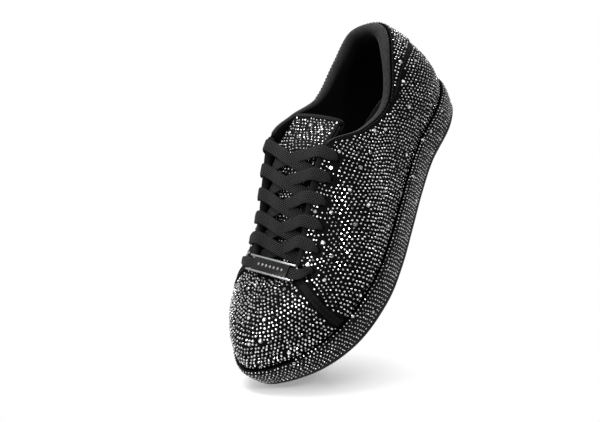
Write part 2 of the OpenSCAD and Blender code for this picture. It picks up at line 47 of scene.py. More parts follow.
# Cross-sections from the heel round the outer side: foot x and y, top x, y and z, then how far the lower
# handle of the curve leans out and climbs, and how far the upper one leans out and drops.
RIBS = np.array([
    [0, 136, 0, 127, 92, 9, 22, 10, 20],
    [21, 129, 16, 120, 91, 9, 22, 10, 20],
    [31, 105, 26, 100, 84, 7, 20, 9, 18],
    [31, 70, 31, 68, 68, 4, 16, 6, 14],
    [36, 38, 29, 37, 74, 3, 18, 7, 14],
    [43, 6, 23, 8, 91, 3, 22, 13, 17],
    [50, -28, 20, -20, 82, 3, 22, 17, 12],
    [52, -58, 19, -47, 68, 3, 20, 20, 8],
    [44, -93, 18, -68, 57, 3, 18, 24, 3],
    [24, -120, 8, -75, 55, 3, 18, 29, 0],
    [-8, -135, -3, -76, 55, 3, 18, 31, -2],
    [-34, -117, -14, -74, 55, 3, 18, 27, 0],
    [-45, -92, -23, -68, 57, 3, 18, 21, 3],
    [-46, -58, -24, -46, 68, 2, 20, 16, 8],
    [-40, -26, -27, -18, 83, 1, 22, 12, 12],
    [-35, 6, -29, 12, 97, 1, 26, 8, 18],
    [-32, 36, -30, 38, 90, 2, 22, 6, 14],
    [-31, 68, -31, 68, 77, 3, 18, 7, 14],
    [-30, 105, -28, 100, 82, 6, 20, 8, 18],
    [-21, 129, -18, 120, 91, 8, 22, 10, 20],
], float)
HEEL = RIB_COUNT = len(RIBS)
CORNER_LAT, SEAM_LAT, TOE_U, SEAM_MED, CORNER_MED = 5, 8, 10, 12, 15
PLAN_MIDDLE = np.array([2.879, 0.504, 0.0])
SOLE_HEIGHT, TOE_SPRING, OUTSOLE_T = 19.0, 9.0, 3.5
WALL_OUT_TOP, WALL_OUT_FOOT, WALL_RISE = 5.5, 3.0, 3.0
LACE_W, LACE_T, HOLE_D, BADGE_L = 8.8, 1.4, 5.0, 42.0
Z_UP = np.array([0.0, 0.0, 1.0])


def place(p):
    return (np.asarray(p, float) - PLAN_MIDDLE) * 0.001


def lerp(a, b, t):
    return a + (b - a) * t


def clamp(t):
    return np.clip(t, 0, 1)


def smooth(t):
    c = clamp(t)
    return c * c * (3 - 2 * c)


def unit(v):
    return v / np.maximum(norm(v, axis=-1, keepdims=True), 1e-9)


def stack(*parts):
    return np.stack(np.broadcast_arrays(*parts), -1)


def floats(*values):
    return np.broadcast_arrays(*(np.asarray(x, float) for x in values))


def circle(count):
    """Even angles round a circle."""
    return np.linspace(0, 2 * np.pi, count, endpoint=False)


def run_length(points):
    return join([[0], np.cumsum(norm(np.diff(points, axis=0), axis=1))])


def sample(run, values, at):
    """The columns of values, given along run, at other places of the run."""
    return np.stack([np.interp(at, run, column) for column in values.T], -1)


def spline4(a, b, c, d, t):
    return 0.5 * (2 * b + (c - a) * t + (2 * a - 5 * b + 4 * c - d) * t**2 + (3 * b - a - 3 * c + d) * t**3)


def refine(points, cells, closed=False):
    """Catmull-Rom through control points, cells steps between each two."""
    p = np.asarray(points, float)
    ends = (p[-1:], p[:2]) if closed else (2 * p[:1] - p[1:2], 2 * p[-1:] - p[-2:-1])
    p = join([ends[0], p, ends[1]])
    t = np.linspace(0, 1, cells, endpoint=False)[:, None]
    parts = [spline4(*p[i : i + 4], t) for i in range(len(p) - 3)]
    return join(parts if closed else parts + [p[-2:-1]])


def rib_at(u):
    w = np.mod(np.asarray(u, float), RIB_COUNT)
    i = np.floor(w).astype(int)
    a, b, c, d = (RIBS[(i + k) % RIB_COUNT] for k in (-1, 0, 1, 2))
    return spline4(a, b, c, d, (w - i)[..., None])


def feather_z(y):
    return SOLE_HEIGHT + 2 * clamp(y / 130) + 6 * clamp((-y - 60) / 75) ** 2


def ground_z(y):
    return TOE_SPRING * clamp((-y - 70) / 70) ** 2


def plan_out(u):
    a, b = rib_at(u + 0.001), rib_at(u - 0.001)
    return unit(stack(b[..., 1] - a[..., 1], a[..., 0] - b[..., 0]))


def rib_curve(u):
    a, n = rib_at(u), plan_out(u)
    foot = stack(a[..., 0], a[..., 1], feather_z(a[..., 1]))
    top = a[..., 2:5]
    low = foot + stack(n[..., 0] * a[..., 5], n[..., 1] * a[..., 5], a[..., 6])
    high = top + stack(n[..., 0] * a[..., 7], n[..., 1] * a[..., 7], -a[..., 8])
    return foot, low, high, top


def curve(c, v):
    v = v[..., None]
    w = 1 - v
    return w**3 * c[0] + 3 * w * w * v * c[1] + 3 * w * v * v * c[2] + v**3 * c[3]


def slope(c, v):
    v = v[..., None]
    w = 1 - v
    return 3 * (w * w * (c[1] - c[0]) + 2 * w * v * (c[2] - c[1]) + v * v * (c[3] - c[2]))


def rib_length(u):
    u = np.asarray(u, float)
    c = rib_curve(u)
    p, q = curve(c, np.full(u.shape, 0.34)), curve(c, np.full(u.shape, 0.67))
    return sum(norm(d, axis=-1) for d in (p - c[0], q - p, c[3] - q))


def skin(u, v, d):
    """Points over the upper: rib u, height v (0 foot, 1 top edge) and d mm outwards."""
    u, v, d = floats(u, v, d)
    c, w = rib_curve(u), np.minimum(v, 1)
    side = curve(rib_curve(u + 0.02), w) - curve(rib_curve(u - 0.02), w)
    return curve(c, v) + unit(np.cross(slope(c, w), side)) * d[..., None]


def skin_mm(u, up, d):
    """As skin, with the height in mm above the top edge."""
    return skin(u, 1 + np.asarray(up, float) / rib_length(u), d)


def mm_per_rib(u, v):
    return norm(skin(u + 0.5, v, 0.0) - skin(u - 0.5, v, 0.0), axis=-1)


def outline(u, out):
    a, n = rib_at(u), plan_out(u)
    return stack(a[..., 0] + n[..., 0] * out, a[..., 1] + n[..., 1] * out)


def from_heel(u):
    return np.where(u > TOE_U, HEEL - u, abs(u))


# ---- meshes


def add_object(name, data):
    obj = bpy.data.objects.new(name, data)
    scene.collection.objects.link(obj)
    return obj


def show(name, nodes, mesh, finish, body, sharp):
    """Puts a mesh in the scene as a piece that rides on a body and stands for the CAD nodes."""
    mesh.shade_smooth()
    if sharp is not None:
        mesh.set_sharp_from_angle(angle=math.radians(sharp))
    mesh.materials.append(finish.material)
    obj = add_object(name, mesh)
    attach(obj, body)
    if nodes:
        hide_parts(*nodes.split())
    return obj


def make_piece(name, nodes, points, polys, finish, body="shoe", sharp=40, uv=None):
    """A mesh piece from points in mm and arrays of faces, in place of the CAD nodes."""
    mesh = bpy.data.meshes.new(name)
    loops = join([p.ravel() for p in polys])
    counts = join([np.full(len(p), p.shape[1]) for p in polys])
    mesh.vertices.add(len(points))
    mesh.vertices.foreach_set("co", place(points).ravel())
    mesh.loops.add(len(loops))
    mesh.loops.foreach_set("vertex_index", loops)
    mesh.polygons.add(len(counts))
    mesh.polygons.foreach_set("loop_start", join([[0], np.cumsum(counts)[:-1]]))
    mesh.update(calc_edges=True)
    if uv is not None:
        mesh.uv_layers.new(name="run").data.foreach_set("uv", uv.reshape(-1, 2)[loops].ravel())
    mesh.validate()
    return show(name, nodes, mesh, finish, body, sharp)


def grid_index(n, m):
    return (x.ravel() for x in np.meshgrid(np.arange(n), np.arange(m), indexing="ij"))


def slab_faces(n, m, loop):
    """Faces of a closed sheet between two n by m grids; a loop joins its last row to its first."""
    k, rows = n * m, n if loop else n - 1
    i, j = grid_index(rows, m - 1)
    p, q = i * m + j, ((i + 1) % n) * m + j
    faces = [stack(p, p + 1, q + 1, q), stack(p + k, q + k, q + 1 + k, p + 1 + k)]
    p, q = np.arange(rows) * m, (np.arange(1, rows + 1) % n) * m
    s, t = p + m - 1, q + m - 1
    faces += [stack(q + k, p + k, p, q), stack(s + k, t + k, t, s)]
    if not loop:
        j = np.arange(m - 1)
        q = (n - 1) * m + j
        faces += [stack(j + k, j + 1 + k, j + 1, j), stack(q + 1 + k, q + k, q, q + 1)]
    return faces


def slab(name, nodes, outer, inner, finish, loop=False, uv=None, **more):
    """Closed sheet between two grids of points."""
    faces = slab_faces(*outer.shape[:2], loop)
    points = join([outer, inner]).reshape(-1, 3)
    uv = None if uv is None else join([uv, uv])
    return make_piece(name, nodes, points, faces, finish, uv=uv, **more)


def ring_faces(n, m):
    """Quads between n closed sections of m points, then the caps of the two ends."""
    i, j = grid_index(n - 1, m)
    p, r = i * m + j, i * m + (j + 1) % m
    end = np.arange(m)[None]
    return [stack(p, p + m, r + m, r), end, end[:, ::-1] + (n - 1) * m]


def tube(name, nodes, sections, finish, **more):
    """Closed bar through an (n, m, 3) array of closed sections."""
    faces = ring_faces(*sections.shape[:2])
    return make_piece(name, nodes, sections.reshape(-1, 3), faces, finish, **more)


PUFF_FRAMES = 20


def puff(obj, pinned, pressure, cap_mm):
    """Swells a padded piece with the cloth simulation, holding the pinned points, and keeps the result."""
    mesh = obj.data
    rest = np.empty(len(mesh.vertices) * 3)
    mesh.vertices.foreach_get("co", rest)
    group = obj.vertex_groups.new(name="pin")
    group.add(np.flatnonzero(pinned).tolist(), 1.0, "REPLACE")
    mod = obj.modifiers.new("puff", "CLOTH")
    cloth = mod.settings
    cloth.quality, cloth.mass, cloth.bending_stiffness = 5, 0.15, 0.3
    cloth.tension_stiffness = cloth.compression_stiffness = cloth.shear_stiffness = 15
    cloth.use_pressure, cloth.uniform_pressure_force = True, pressure
    cloth.vertex_group_mass, cloth.effector_weights.gravity = "pin", 0
    mod.collision_settings.use_collision = False
    mod.point_cache.frame_start, mod.point_cache.frame_end = 1, PUFF_FRAMES
    for f in range(1, PUFF_FRAMES + 1):
        scene.frame_set(f)
    now = np.empty_like(rest)
    shown = obj.evaluated_get(bpy.context.evaluated_depsgraph_get())
    shown.data.vertices.foreach_get("co", now)
    obj.modifiers.remove(mod)
    obj.vertex_groups.remove(group)
    scene.frame_set(1)
    move = (now - rest).reshape(-1, 3)
    far = norm(move, axis=1, keepdims=True)
    move *= np.minimum(1, cap_mm * 0.001 / np.maximum(far, 1e-9))
    move[~np.isfinite(move).all(axis=1)] = 0
    mesh.vertices.foreach_set("co", (rest.reshape(-1, 3) + move).ravel())
    mesh.update()
    mod = obj.modifiers.new("subdivision", "SUBSURF")
    mod.levels = mod.render_levels = 1


# ---- materials


class Nodes:
    """A node tree and the helpers that add nodes to it."""

    def __init__(self, tree):
        self.tree = tree

    def set(self, node, inputs):
        for key, value in inputs.items():
            if isinstance(value, bpy.types.NodeSocket):
                self.tree.links.new(value, node.inputs[key])
            else:
                node.inputs[key].default_value = value

    def add(self, kind, inputs=None, out=0, **props):
        node = self.tree.nodes.new("ShaderNode" + kind)
        for key, value in props.items():
            setattr(node, key, value)
        self.set(node, inputs or {})
        return node.outputs[out]

    def math(self, operation, a, b=0.0):
        return self.add("Math", {0: a, 1: b}, operation=operation)

    def mix(self, t, a, b):
        return self.add("Mix", {0: t, 6: a, 7: b}, out=2, data_type="RGBA")

    def span(self, value, low, high, to_low, to_high):
        keys = ("Value", "From Min", "From Max", "To Min", "To Max")
        return self.add("MapRange", dict(zip(keys, (value, low, high, to_low, to_high))))


class Finish(Nodes):
    """A procedural material round one Principled shader."""

    def __init__(self, name, colour, rough, metallic=0.0, specular=0.5):
        self.material = bpy.data.materials.new(name)
        self.material.use_nodes = True
        self.material.diffuse_color = (*colour, 1)
        super().__init__(self.material.node_tree)
        self.shader = self.tree.nodes["Principled BSDF"]
        self.look({"Base Color": (*colour, 1), "Roughness": rough, "Metallic": metallic})
        self.look({"Specular IOR Level": specular})
        self.normal = None

    def look(self, inputs):
        self.set(self.shader, inputs)

    def texture(self, kind, **inputs):
        """A texture in object coordinates, in mm."""
        at = self.add("Mapping", {"Vector": self.add("TexCoord", out=3), "Scale": (1000, 1000, 1000)})
        return self.add("Tex" + kind, {"Vector": at, **inputs})

    def noise(self, scale, detail=3.0):
        return self.texture("Noise", Scale=scale, Detail=detail)

    def cells(self, scale):
        return self.texture("Voronoi", Scale=scale)

    def uv(self):
        """The run of the piece, as the outputs across and along."""
        return self.add("SeparateXYZ", {0: self.add("UVMap", uv_map="run")}).node.outputs

    def shade(self, value, low, high, dark, bright):
        """Base colour between two colours, driven by a value."""
        colour = self.mix(self.span(value, low, high, 0, 1), (*dark, 1), (*bright, 1))
        self.look({"Base Color": colour})
        return colour

    def rough(self, value, low, high, to_low, to_high):
        self.look({"Roughness": self.span(value, low, high, to_low, to_high)})

    def bump(self, value, mm, strength):
        inputs = {"Height": value, "Distance": mm * 0.001, "Strength": strength}
        if self.normal is not None:
            inputs["Normal"] = self.normal
        self.normal = self.add("Bump", inputs)
        self.look({"Normal": self.normal})

    def sheen(self, weight):
        self.look({"Sheen Weight": weight, "Sheen Roughness": 0.4})


def grey(v):
    return (v, v, v * 1.04)


def leather_finish(name, level=0.001, specular=0.03):
    f = Finish(name, grey(level), 0.5, specular=specular)
    grain = f.noise(0.16, 4)
    f.shade(grain, 0.35, 0.7, grey(level * 0.7), grey(level * 1.7))
    f.rough(grain, 0.3, 0.7, 0.42, 0.6)
    f.bump(f.cells(1.1), 0.12, 0.5)
    f.bump(f.noise(2.6, 2), 0.05, 0.4)
    return f


def rubber_finish(name, level, rough):
    f = Finish(name, grey(level), rough, specular=0.04)
    scuffs = f.noise(0.09, 5)
    f.shade(scuffs, 0.35, 0.75, grey(level * 0.8), grey(level * 2.1))
    f.rough(scuffs, 0.3, 0.7, rough - 0.08, rough + 0.14)
    f.bump(f.noise(3.2), 0.04, 0.5)
    return f


def knit_finish(name, level, pitch=1.15, sheen=0.3):
    """Fine spacer mesh: rows of small eyelets with a soft sheen, its colour darker where the eyelets sink:
    painted shade.
    """
    f = Finish(name, grey(level), 0.85, specular=0.1)
    eyes, fibre = f.cells(1 / pitch), f.noise(2.2)
    relief_light_shade = f.math("ADD", eyes, f.math("MULTIPLY", fibre, 0.35))
    # painted shade: the knit darkens where the eyelets sink
    f.shade(relief_light_shade, 0.25, 0.85, grey(level * 1.5), grey(level * 0.5))
    f.bump(f.math("MULTIPLY", eyes, -1.0), 0.22, 0.6)
    f.bump(fibre, 0.06, 0.5)
    f.sheen(sheen)
    return f


def collar_shaded_finish(name, level):
    """The knit of the collar, with painted shade down the inside: its colour goes near black there and its
    sheen fades.
    """
    f = knit_finish(name, level)
    fade = f.span(f.uv()[0], 2.6, 6.0, 0, 1)
    colour = f.shader.inputs["Base Color"].links[0].from_socket
    # painted shade: the colour goes near black down the inside of the collar
    f.look({"Base Color": f.mix(fade, colour, (0.002, 0.002, 0.002, 1))})
    f.look({"Sheen Weight": f.span(fade, 0, 1, 0.25, 0)})
    return f


def weave_finish(name, level, across, along):
    """Flat woven tape, drawn from the run of the piece: u is mm across and v is mm along. Its colour is
    lighter on the raised knots and much darker between them: painted highlight and painted shade.
    """
    f = Finish(name, grey(level), 0.8, specular=0.08)
    run = f.uv()
    u = f.math("DIVIDE", run[0], across)
    shift = f.math("MULTIPLY", f.math("MODULO", f.math("FLOOR", u), 2.0), 0.5)
    v = f.math("ADD", f.math("DIVIDE", run[1], along), shift)
    a, b = (f.math("SINE", f.math("MULTIPLY", f.math("FRACT", x), math.pi)) for x in (u, v))
    knots, fibre = f.math("MULTIPLY", a, b), f.noise(2.4)
    relief_light_shade = f.math("ADD", knots, f.math("MULTIPLY", fibre, 0.5))
    # painted highlight on the knot tops and painted shade between the knots
    f.shade(relief_light_shade, 0.3, 1.2, grey(level * 0.05), grey(level * 2.9))
    f.bump(knots, 0.6, 1.0)
    f.bump(fibre, 0.05, 0.5)
    f.sheen(0.03)
    return f


def stone_finish(name, low, high):
    """Foil-backed cut stones: every facet has its own brightness, kept in the facet attribute, as painted
    glints and painted dark reflections.
    """
    f = Finish(name, grey(0.6), 0.12, metallic=1.0)
    facet = f.add("Attribute", attribute_name="facet", out=2)
    f.shade(facet, 0.0, 1.0, grey(low), (high, high, high * 1.02))
    f.rough(f.noise(1.2, 2), 0.3, 0.7, 0.08, 0.2)
    f.bump(f.noise(0.9, 1), 0.02, 0.2)
    f.look({"Coat Weight": 0.1, "Coat Roughness": 0.04})
    return f


def plain_finish(name, colour, rough, metallic=0.0, specular=0.5, grain=1.5, depth=0.03, change=0.3):
    f = Finish(name, colour, rough, metallic, specular)
    n = f.noise(grain, 4)
    dark = [c * (1 - change) for c in colour]
    f.shade(n, 0.3, 0.7, dark, [min(1, c * (1 + change)) for c in colour])
    f.rough(n, 0.3, 0.7, rough * 0.8, min(1, rough * 1.2))
    f.bump(n, depth, 0.5)
    return f


LEATHER = leather_finish("leather_black")
TONGUE_LEATHER = leather_finish("leather_tongue", 0.0015)
CUP_RUBBER = rubber_finish("cupsole_rubber", 0.0025, 0.42)
# lighter copy of the black rubber: painted light that shows the tread on the unlit underside
LIT_OUT_RUBBER = rubber_finish("outsole_rubber_lit", 0.018, 0.5)
KNIT = knit_finish("lining_knit", 0.022)
# darker copy of the lining knit: painted shade for the linings inside the shoe
SHADED_INNER_KNIT = knit_finish("shaded_inner_knit", 0.0022, 1.4, 0.03)
COLLAR_KNIT = collar_shaded_finish("collar_knit", 0.02)
BINDING = knit_finish("binding_tape", 0.005, 0.7, 0.08)
BAND = leather_finish("band_smooth", 0.0012, 0.06)
LACE = weave_finish("lace_weave", 0.0115, 1.15, 1.9)
TIP = plain_finish("lace_tip_plastic", grey(0.01), 0.18, specular=0.6)
CHROME = plain_finish("polished_metal", (0.36, 0.365, 0.375), 0.2, 1.0, grain=0.5, depth=0.008, change=0.08)
ENAMEL = plain_finish("enamel_black", grey(0.004), 0.2, specular=0.22, depth=0.01)
BEAD = plain_finish("bead_grey", grey(0.16), 0.2, 0.8, depth=0.01)
THREAD = plain_finish("thread_black", grey(0.008), 0.75, specular=0.15, grain=3, depth=0.05)
FOAM = plain_finish("foam_grey", grey(0.12), 0.9, specular=0.2, grain=1.2, depth=0.3)
SOLE_FOAM = plain_finish("midsole_foam", grey(0.10), 0.85, specular=0.2, grain=0.9, depth=0.25)
BOARD = plain_finish("fibreboard", (0.32, 0.24, 0.15), 0.9, specular=0.15, grain=0.8, depth=0.1, change=0.2)
STEEL = plain_finish("spring_steel", (0.5, 0.51, 0.53), 0.35, 1.0, grain=0.7, depth=0.02, change=0.12)
STIFF = plain_finish("stiffener_board", grey(0.14), 0.8, specular=0.2, grain=1.0, depth=0.08)
STONE = stone_finish("crystal_clear", 0.004, 0.95)
WALL_STONE = stone_finish("crystal_wall", 0.003, 0.9)

for finish, node_names in (
    (SOLE_FOAM, ["midsole"]),
    (STEEL, ["shank"]),
    (BOARD, ["insole_board"]),
    (STIFF, ["toe_puff", "heel_counter", "eyestay_lateral", "eyestay_medial"]),
    (TIP, ["aglets"]),
):
    for node_name in node_names:
        for cad_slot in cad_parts[node_name].material_slots:
            cad_slot.material = finish.material

# ---- sole

TREAD, TREAD_SLOPE, TREAD_EDGE = 1.6, math.tan(math.radians(24)), 1.9
GROOVES = [-106, -93, -80] + list(range(-6, 100, 15))
GROOVE_STEPS = (-1.4, -1.05, 0, 1.05, 1.4)
PIVOT, PIVOT_RINGS = (0.0, -42.0), (8, 15, 22)
SOLE_EDGE = np.array([[2.0, 0.35], [2.2, 0.1], [2.6, 0.45], [2.95, 1.3], [3.0, 2.5], [3.0, 3.5]])


def tread_depth(x, y, row):
    """How deep the grooves and the turning rings are at the points of a row."""
    depth = TREAD if min(abs(row - g) for g in GROOVES) < 1.2 else 0.0
    groove_end = lerp(32.0, 22.0, clamp((row + 20) / 60))
    depth = depth * smooth((groove_end - abs(x)) / 1.2)
    radius = np.hypot(x - PIVOT[0], y - PIVOT[1])
    for ring in PIVOT_RINGS:
        depth = np.maximum(depth, TREAD * smooth((1.6 - abs(radius - ring)) / 0.8))
    return depth


def build_outsole():
    """Rows of points run in shallow vees under the foot, so that the tread grooves have crisp walls."""
    u = np.linspace(0, RIB_COUNT, 4001)
    plan = outline(u, TREAD_EDGE)
    toe, heel = int(plan[:, 1].argmin()), int(plan[:, 1].argmax())
    lateral = np.arange(heel if heel < toe else 0, toe + 1)[::-1]
    medial = np.arange(toe, len(u))
    y0, y1 = plan[toe, 1], plan[heel, 1]
    rows = set(np.round(lerp(y0 + 0.05, y1 - 0.05, 0.5 - 0.5 * np.cos(np.linspace(0, np.pi, 150))), 2))
    rows |= set(np.round(np.linspace(y0 + 3, y1 - 3, 190), 2))
    rows = {r for r in rows if all(abs(r - g) > 1.5 for g in GROOVES)}
    rows |= {g + step for g in GROOVES for step in GROOVE_STEPS}
    cols = np.linspace(-1, 1, 91)
    bottom = []
    for r in sorted(rows):
        slant = TREAD_SLOPE * smooth((r - y0) / 22) * smooth((y1 - r) / 22)
        x0 = lerp(plan[toe, 0], plan[heel, 0], (r - y0) / (y1 - y0))
        ends, rims = [], []
        for side in (medial, lateral):
            g = plan[side, 1] - slant * abs(plan[side, 0] - x0)
            end = u[side[max(int(np.argmax(g >= r)), 1)]]
            ends.append(outline(np.array(end), TREAD_EDGE))
            p = outline(np.full(len(SOLE_EDGE), end), SOLE_EDGE[:, 0])
            rims.append(stack(p[:, 0], p[:, 1], ground_z(p[:, 1]) + SOLE_EDGE[:, 1]))
        (left_x, left_y), (right_x, right_y) = ends
        x = np.where(cols < 0, lerp(x0, left_x, -cols), lerp(x0, right_x, cols))
        y = np.where(cols < 0, lerp(r, left_y, -cols), lerp(r, right_y, cols))
        flat = stack(x, y, ground_z(y) + tread_depth(x, y, r))
        bottom.append(join([rims[0][::-1], flat, rims[1]]))
    bottom = np.array(bottom)
    top = bottom.copy()
    top[..., 2] = ground_z(bottom[..., 1]) + OUTSOLE_T + 0.05
    slab("outsole_tread", "outsole", top, bottom, LIT_OUT_RUBBER, sharp=45)


def wall_z(y, w):
    return lerp(ground_z(y) + OUTSOLE_T + 0.1, feather_z(y) + WALL_RISE, w)


def wall_point(u, w, d):
    """Points of the cupsole wall: rib u, height w (0 foot, 1 crest) and d mm outwards."""
    u, w, d = floats(u, w, d)
    out = lerp(WALL_OUT_FOOT, WALL_OUT_TOP, 1 - (1 - w) ** 2) - 0.9 * clamp((w - 0.85) / 0.15) ** 2
    p, foot = outline(u, out + d), rib_at(u)[..., 1]
    return stack(p[..., 0], p[..., 1], wall_z(foot, w))


def build_sidewall():
    u = np.linspace(0, RIB_COUNT, 480, endpoint=False)
    w = join([[0, 0.02], np.linspace(0.06, 0.94, 14)])
    outer = wall_point(u[:, None], w[None], 0.0)
    outer[:, 0] = wall_point(u, 0.0, -0.3)
    crest, seat = wall_point(u, 1.0, 0.0), skin(u, 0.035, 1.2)
    lips = [(0.05, 0.12), (0.35, 0.3), (0.7, 0.15), (1.0, -0.6)]
    lips = np.stack([lerp(crest, seat, t) + Z_UP * up for t, up in lips], 1)
    outer = join([outer, lips], axis=1)
    m = outer.shape[1]
    p = outline(u[:, None], np.interp(np.linspace(0, 1, m), [0, 0.6, 1], [0.6, 0.6, 2.4]))
    inner = stack(p[..., 0], p[..., 1], wall_z(rib_at(u)[:, None, 1], np.linspace(0, 0.9, m)))
    slab("sidewall_shell", "sidewall", outer, inner, CUP_RUBBER, loop=True)


build_outsole()
build_sidewall()

# ---- upper panels

LOW_V, HIGH_V, ROWS, HOLE_SIDES = 0.01, 0.985, 6, 20


def row_k(i):
    """How far up the throat lace row i is, from 0 at the toe to 1 at the collar."""
    return 0.93 - 0.158 * i


def eye(side, k):
    """The rib that is k up the throat: side 1 is lateral and -1 is medial."""
    return 8.3 - 3.3 * k if side > 0 else 11.7 + 3.3 * k


def holes(side):
    """Cutters and middles of the punched lace holes."""
    cutters, middles = [], []
    turn = circle(HOLE_SIDES)[:, None]
    for i in range(ROWS):
        u = np.array(eye(side, row_k(i)))
        p = skin_mm(u, -12.5, 0.0)
        n = unit(skin_mm(u, -12.5, 1.0) - p)
        a = unit(np.cross(n, Z_UP))
        ring = p + (np.cos(turn) * a + np.sin(turn) * np.cross(n, a)) * HOLE_D / 2
        cutters += [ring - n * 6, ring + n * 6]
        middles.append(p + n * 1.6)
    return join(cutters), np.array(middles)


HOLES = {1: holes(1), -1: holes(-1)}


def punch(obj, sides):
    """Takes the lace holes of the sides out of a sheet."""
    points = join([HOLES[side][0] for side in sides])
    j = np.arange(HOLE_SIDES)
    k = (j + 1) % HOLE_SIDES
    one = [*stack(j, k, k + HOLE_SIDES, j + HOLE_SIDES), j[::-1], j + HOLE_SIDES]
    mesh = bpy.data.meshes.new("cutter")
    faces = [(face + base).tolist() for base in range(0, len(points), 2 * HOLE_SIDES) for face in one]
    mesh.from_pydata(place(points).tolist(), [], faces)
    tool = add_object("cutter", mesh)
    mod = obj.modifiers.new("holes", "BOOLEAN")
    mod.operation, mod.solver, mod.object = "DIFFERENCE", "EXACT", tool
    bpy.context.view_layer.update()
    done = bpy.data.meshes.new_from_object(obj.evaluated_get(bpy.context.evaluated_depsgraph_get()))
    obj.modifiers.remove(mod)
    obj.data = done
    bpy.data.objects.remove(tool)


def panel(name, node, u0, u1, d_in, d_out, finish, low=LOW_V, high=HIGH_V, step=0.04, cells=36, edge=0.25):
    """A sheet of the upper with softly rounded edges."""
    u = np.linspace(u0, u1, max(3, int(round((u1 - u0) / step)) + 1))
    t = np.linspace(0, 1, cells + 1)
    lo, hi = (np.broadcast_to(f(u) if callable(f) else f, u.shape)[:, None] for f in (low, high))
    v = lo + (hi - lo) * t[None]
    length = rib_length(u)[:, None]
    count = np.arange(len(u))
    gap = np.minimum((v - lo) * length, (hi - v) * length)
    gap = np.minimum(gap, np.minimum(count, count[::-1])[:, None] * step * 14)
    drop = edge * (1 - clamp(gap / (2.5 * edge + 1e-6))) ** 2
    outer, inner = skin(u[:, None], v, d_out - drop), skin(u[:, None], v, d_in)
    uv = stack(length * v, u[:, None] * 14)
    return slab(name, node, outer, inner, finish, uv=uv)


panel("vamp_leather", "vamp", SEAM_LAT + 0.02, SEAM_MED - 0.02, 0.1, 1.3, LEATHER)
for side, part, u0, u1 in ((1, "lateral", 0, SEAM_LAT), (-1, "medial", SEAM_MED, HEEL)):
    quarter = "quarter_leather_" + part, "quarter_" + part
    punch(panel(*quarter, u0 + 0.02, u1 - 0.02, 0.1, 1.3, LEATHER), [side])
forefoot = "forefoot_lining_knit", "forefoot_lining", CORNER_LAT + 0.02, CORNER_MED - 0.02
punch(panel(*forefoot, -2.0, -1.15, SHADED_INNER_KNIT, step=0.06, cells=24), [1, -1])


def tab_low(u):
    return lerp(0.6, 0.97, (abs(u) / 3.2) ** 1.3)


panel("heel_tab_leather", "heel_tab", -3.0, 3.0, 1.35, 2.65, LEATHER, tab_low, step=0.03, cells=20, edge=0.5)

BAND_LOW, BAND_HIGH, BAND_HALF = 0.075, 0.86, 3.2


def seam_u(seam, v):
    """The toe seams lean forward as they climb from the sole to the throat."""
    lean = 0.62 * (np.asarray(v, float) - 0.25)
    return seam + lean if seam == SEAM_LAT else seam - 0.5 * lean


def band_row(seam, v, side, d):
    """Points side mm across from the middle line of a band."""
    u = seam_u(seam, v)
    return skin(u + side / mm_per_rib(u, v), v, d)


def build_band(part, seam):
    """A raised band with a rolled edge on each side and a groove beside each roll."""
    v = np.linspace(BAND_LOW, BAND_HIGH, 70)[:, None]
    across = np.linspace(-1, 1, 25)[None]
    off = abs(across)
    end = np.minimum((v - BAND_LOW), (BAND_HIGH - v)) * 70
    rise = 0.62 + 0.5 * np.exp(-(((off - 0.8) / 0.12) ** 2)) - 0.5 * off**8
    rise = rise + 0.12 * np.sin(v * 60) * clamp(1 - off / 0.6)
    rise = rise * (1 - 0.8 * clamp(1 - end / 1.5) ** 2)
    outer, inner = (band_row(seam, v, across * BAND_HALF, d) for d in (1.38 + rise, 1.34))
    slab("seam_band_leather_" + part, "seam_band_" + part, outer, inner, BAND)


build_band("lateral", SEAM_LAT)
build_band("medial", SEAM_MED)

# ---- tongue

TONGUE_RUN, TONGUE_TOP, TONGUE_BASE = 85.0, 1.3, -0.08
TONGUE_DIR, BASE_DIR = np.array([0.0, 1.0, 0.0]), unit(np.array([0.0, 1.0, 0.12]))


def throat_edge(side, k):
    k = np.asarray(k, float)
    ahead, behind = np.maximum(k - 1, 0)[..., None], np.minimum(k, 0)[..., None]
    return skin(eye(side, clamp(k)), 1.0, 0.0) + (TONGUE_DIR * ahead + BASE_DIR * behind) * TONGUE_RUN


def tongue_point(k, t, h):
    """Points over the tongue: k up the throat, t across (-1 medial, 1 lateral) and h mm up."""
    k, t, h = floats(k, t, h)
    lateral, medial = throat_edge(1, k), throat_edge(-1, k)
    ahead, behind = (throat_edge(1, k + e) + throat_edge(-1, k + e) for e in (0.02, -0.02))
    w = (lateral - medial) / 2
    up = unit(np.cross(w, ahead - behind))
    crown = lerp(0.1, 0.28, smooth((k - 0.1) / 0.35)) - 0.16 * smooth((k - 0.7) / 0.5)
    sink = 6.5 + 4.5 * clamp(1 - (k + 0.08) / 0.3) ** 2
    rise = crown * norm(w, axis=-1) * (1 - t * t) - sink + h
    return (lateral + medial) / 2 + w * t[..., None] + up * rise[..., None]


def tongue_reach(k):
    return lerp(1.14, 0.82, smooth((np.asarray(k, float) - 0.2) / 0.9))


RIM_OVER = [[-1.5, 0.7], [-0.7, 0.85], [0.5, 0.7], [1.7, 0.1]]
RIM_OVER += [[3.0, -2.9], [2.2, -6.1], [0, -6.9], [-5, -6.8]]
RIM_UNDER = [[-1.5, 0.1], [-0.7, 0.1], [0.1, 0], [0.6, -0.5], [1.1, -2.9], [0.7, -5.3], [0, -5.9], [-5, -5.9]]
RIM_MIDDLE = -2.9


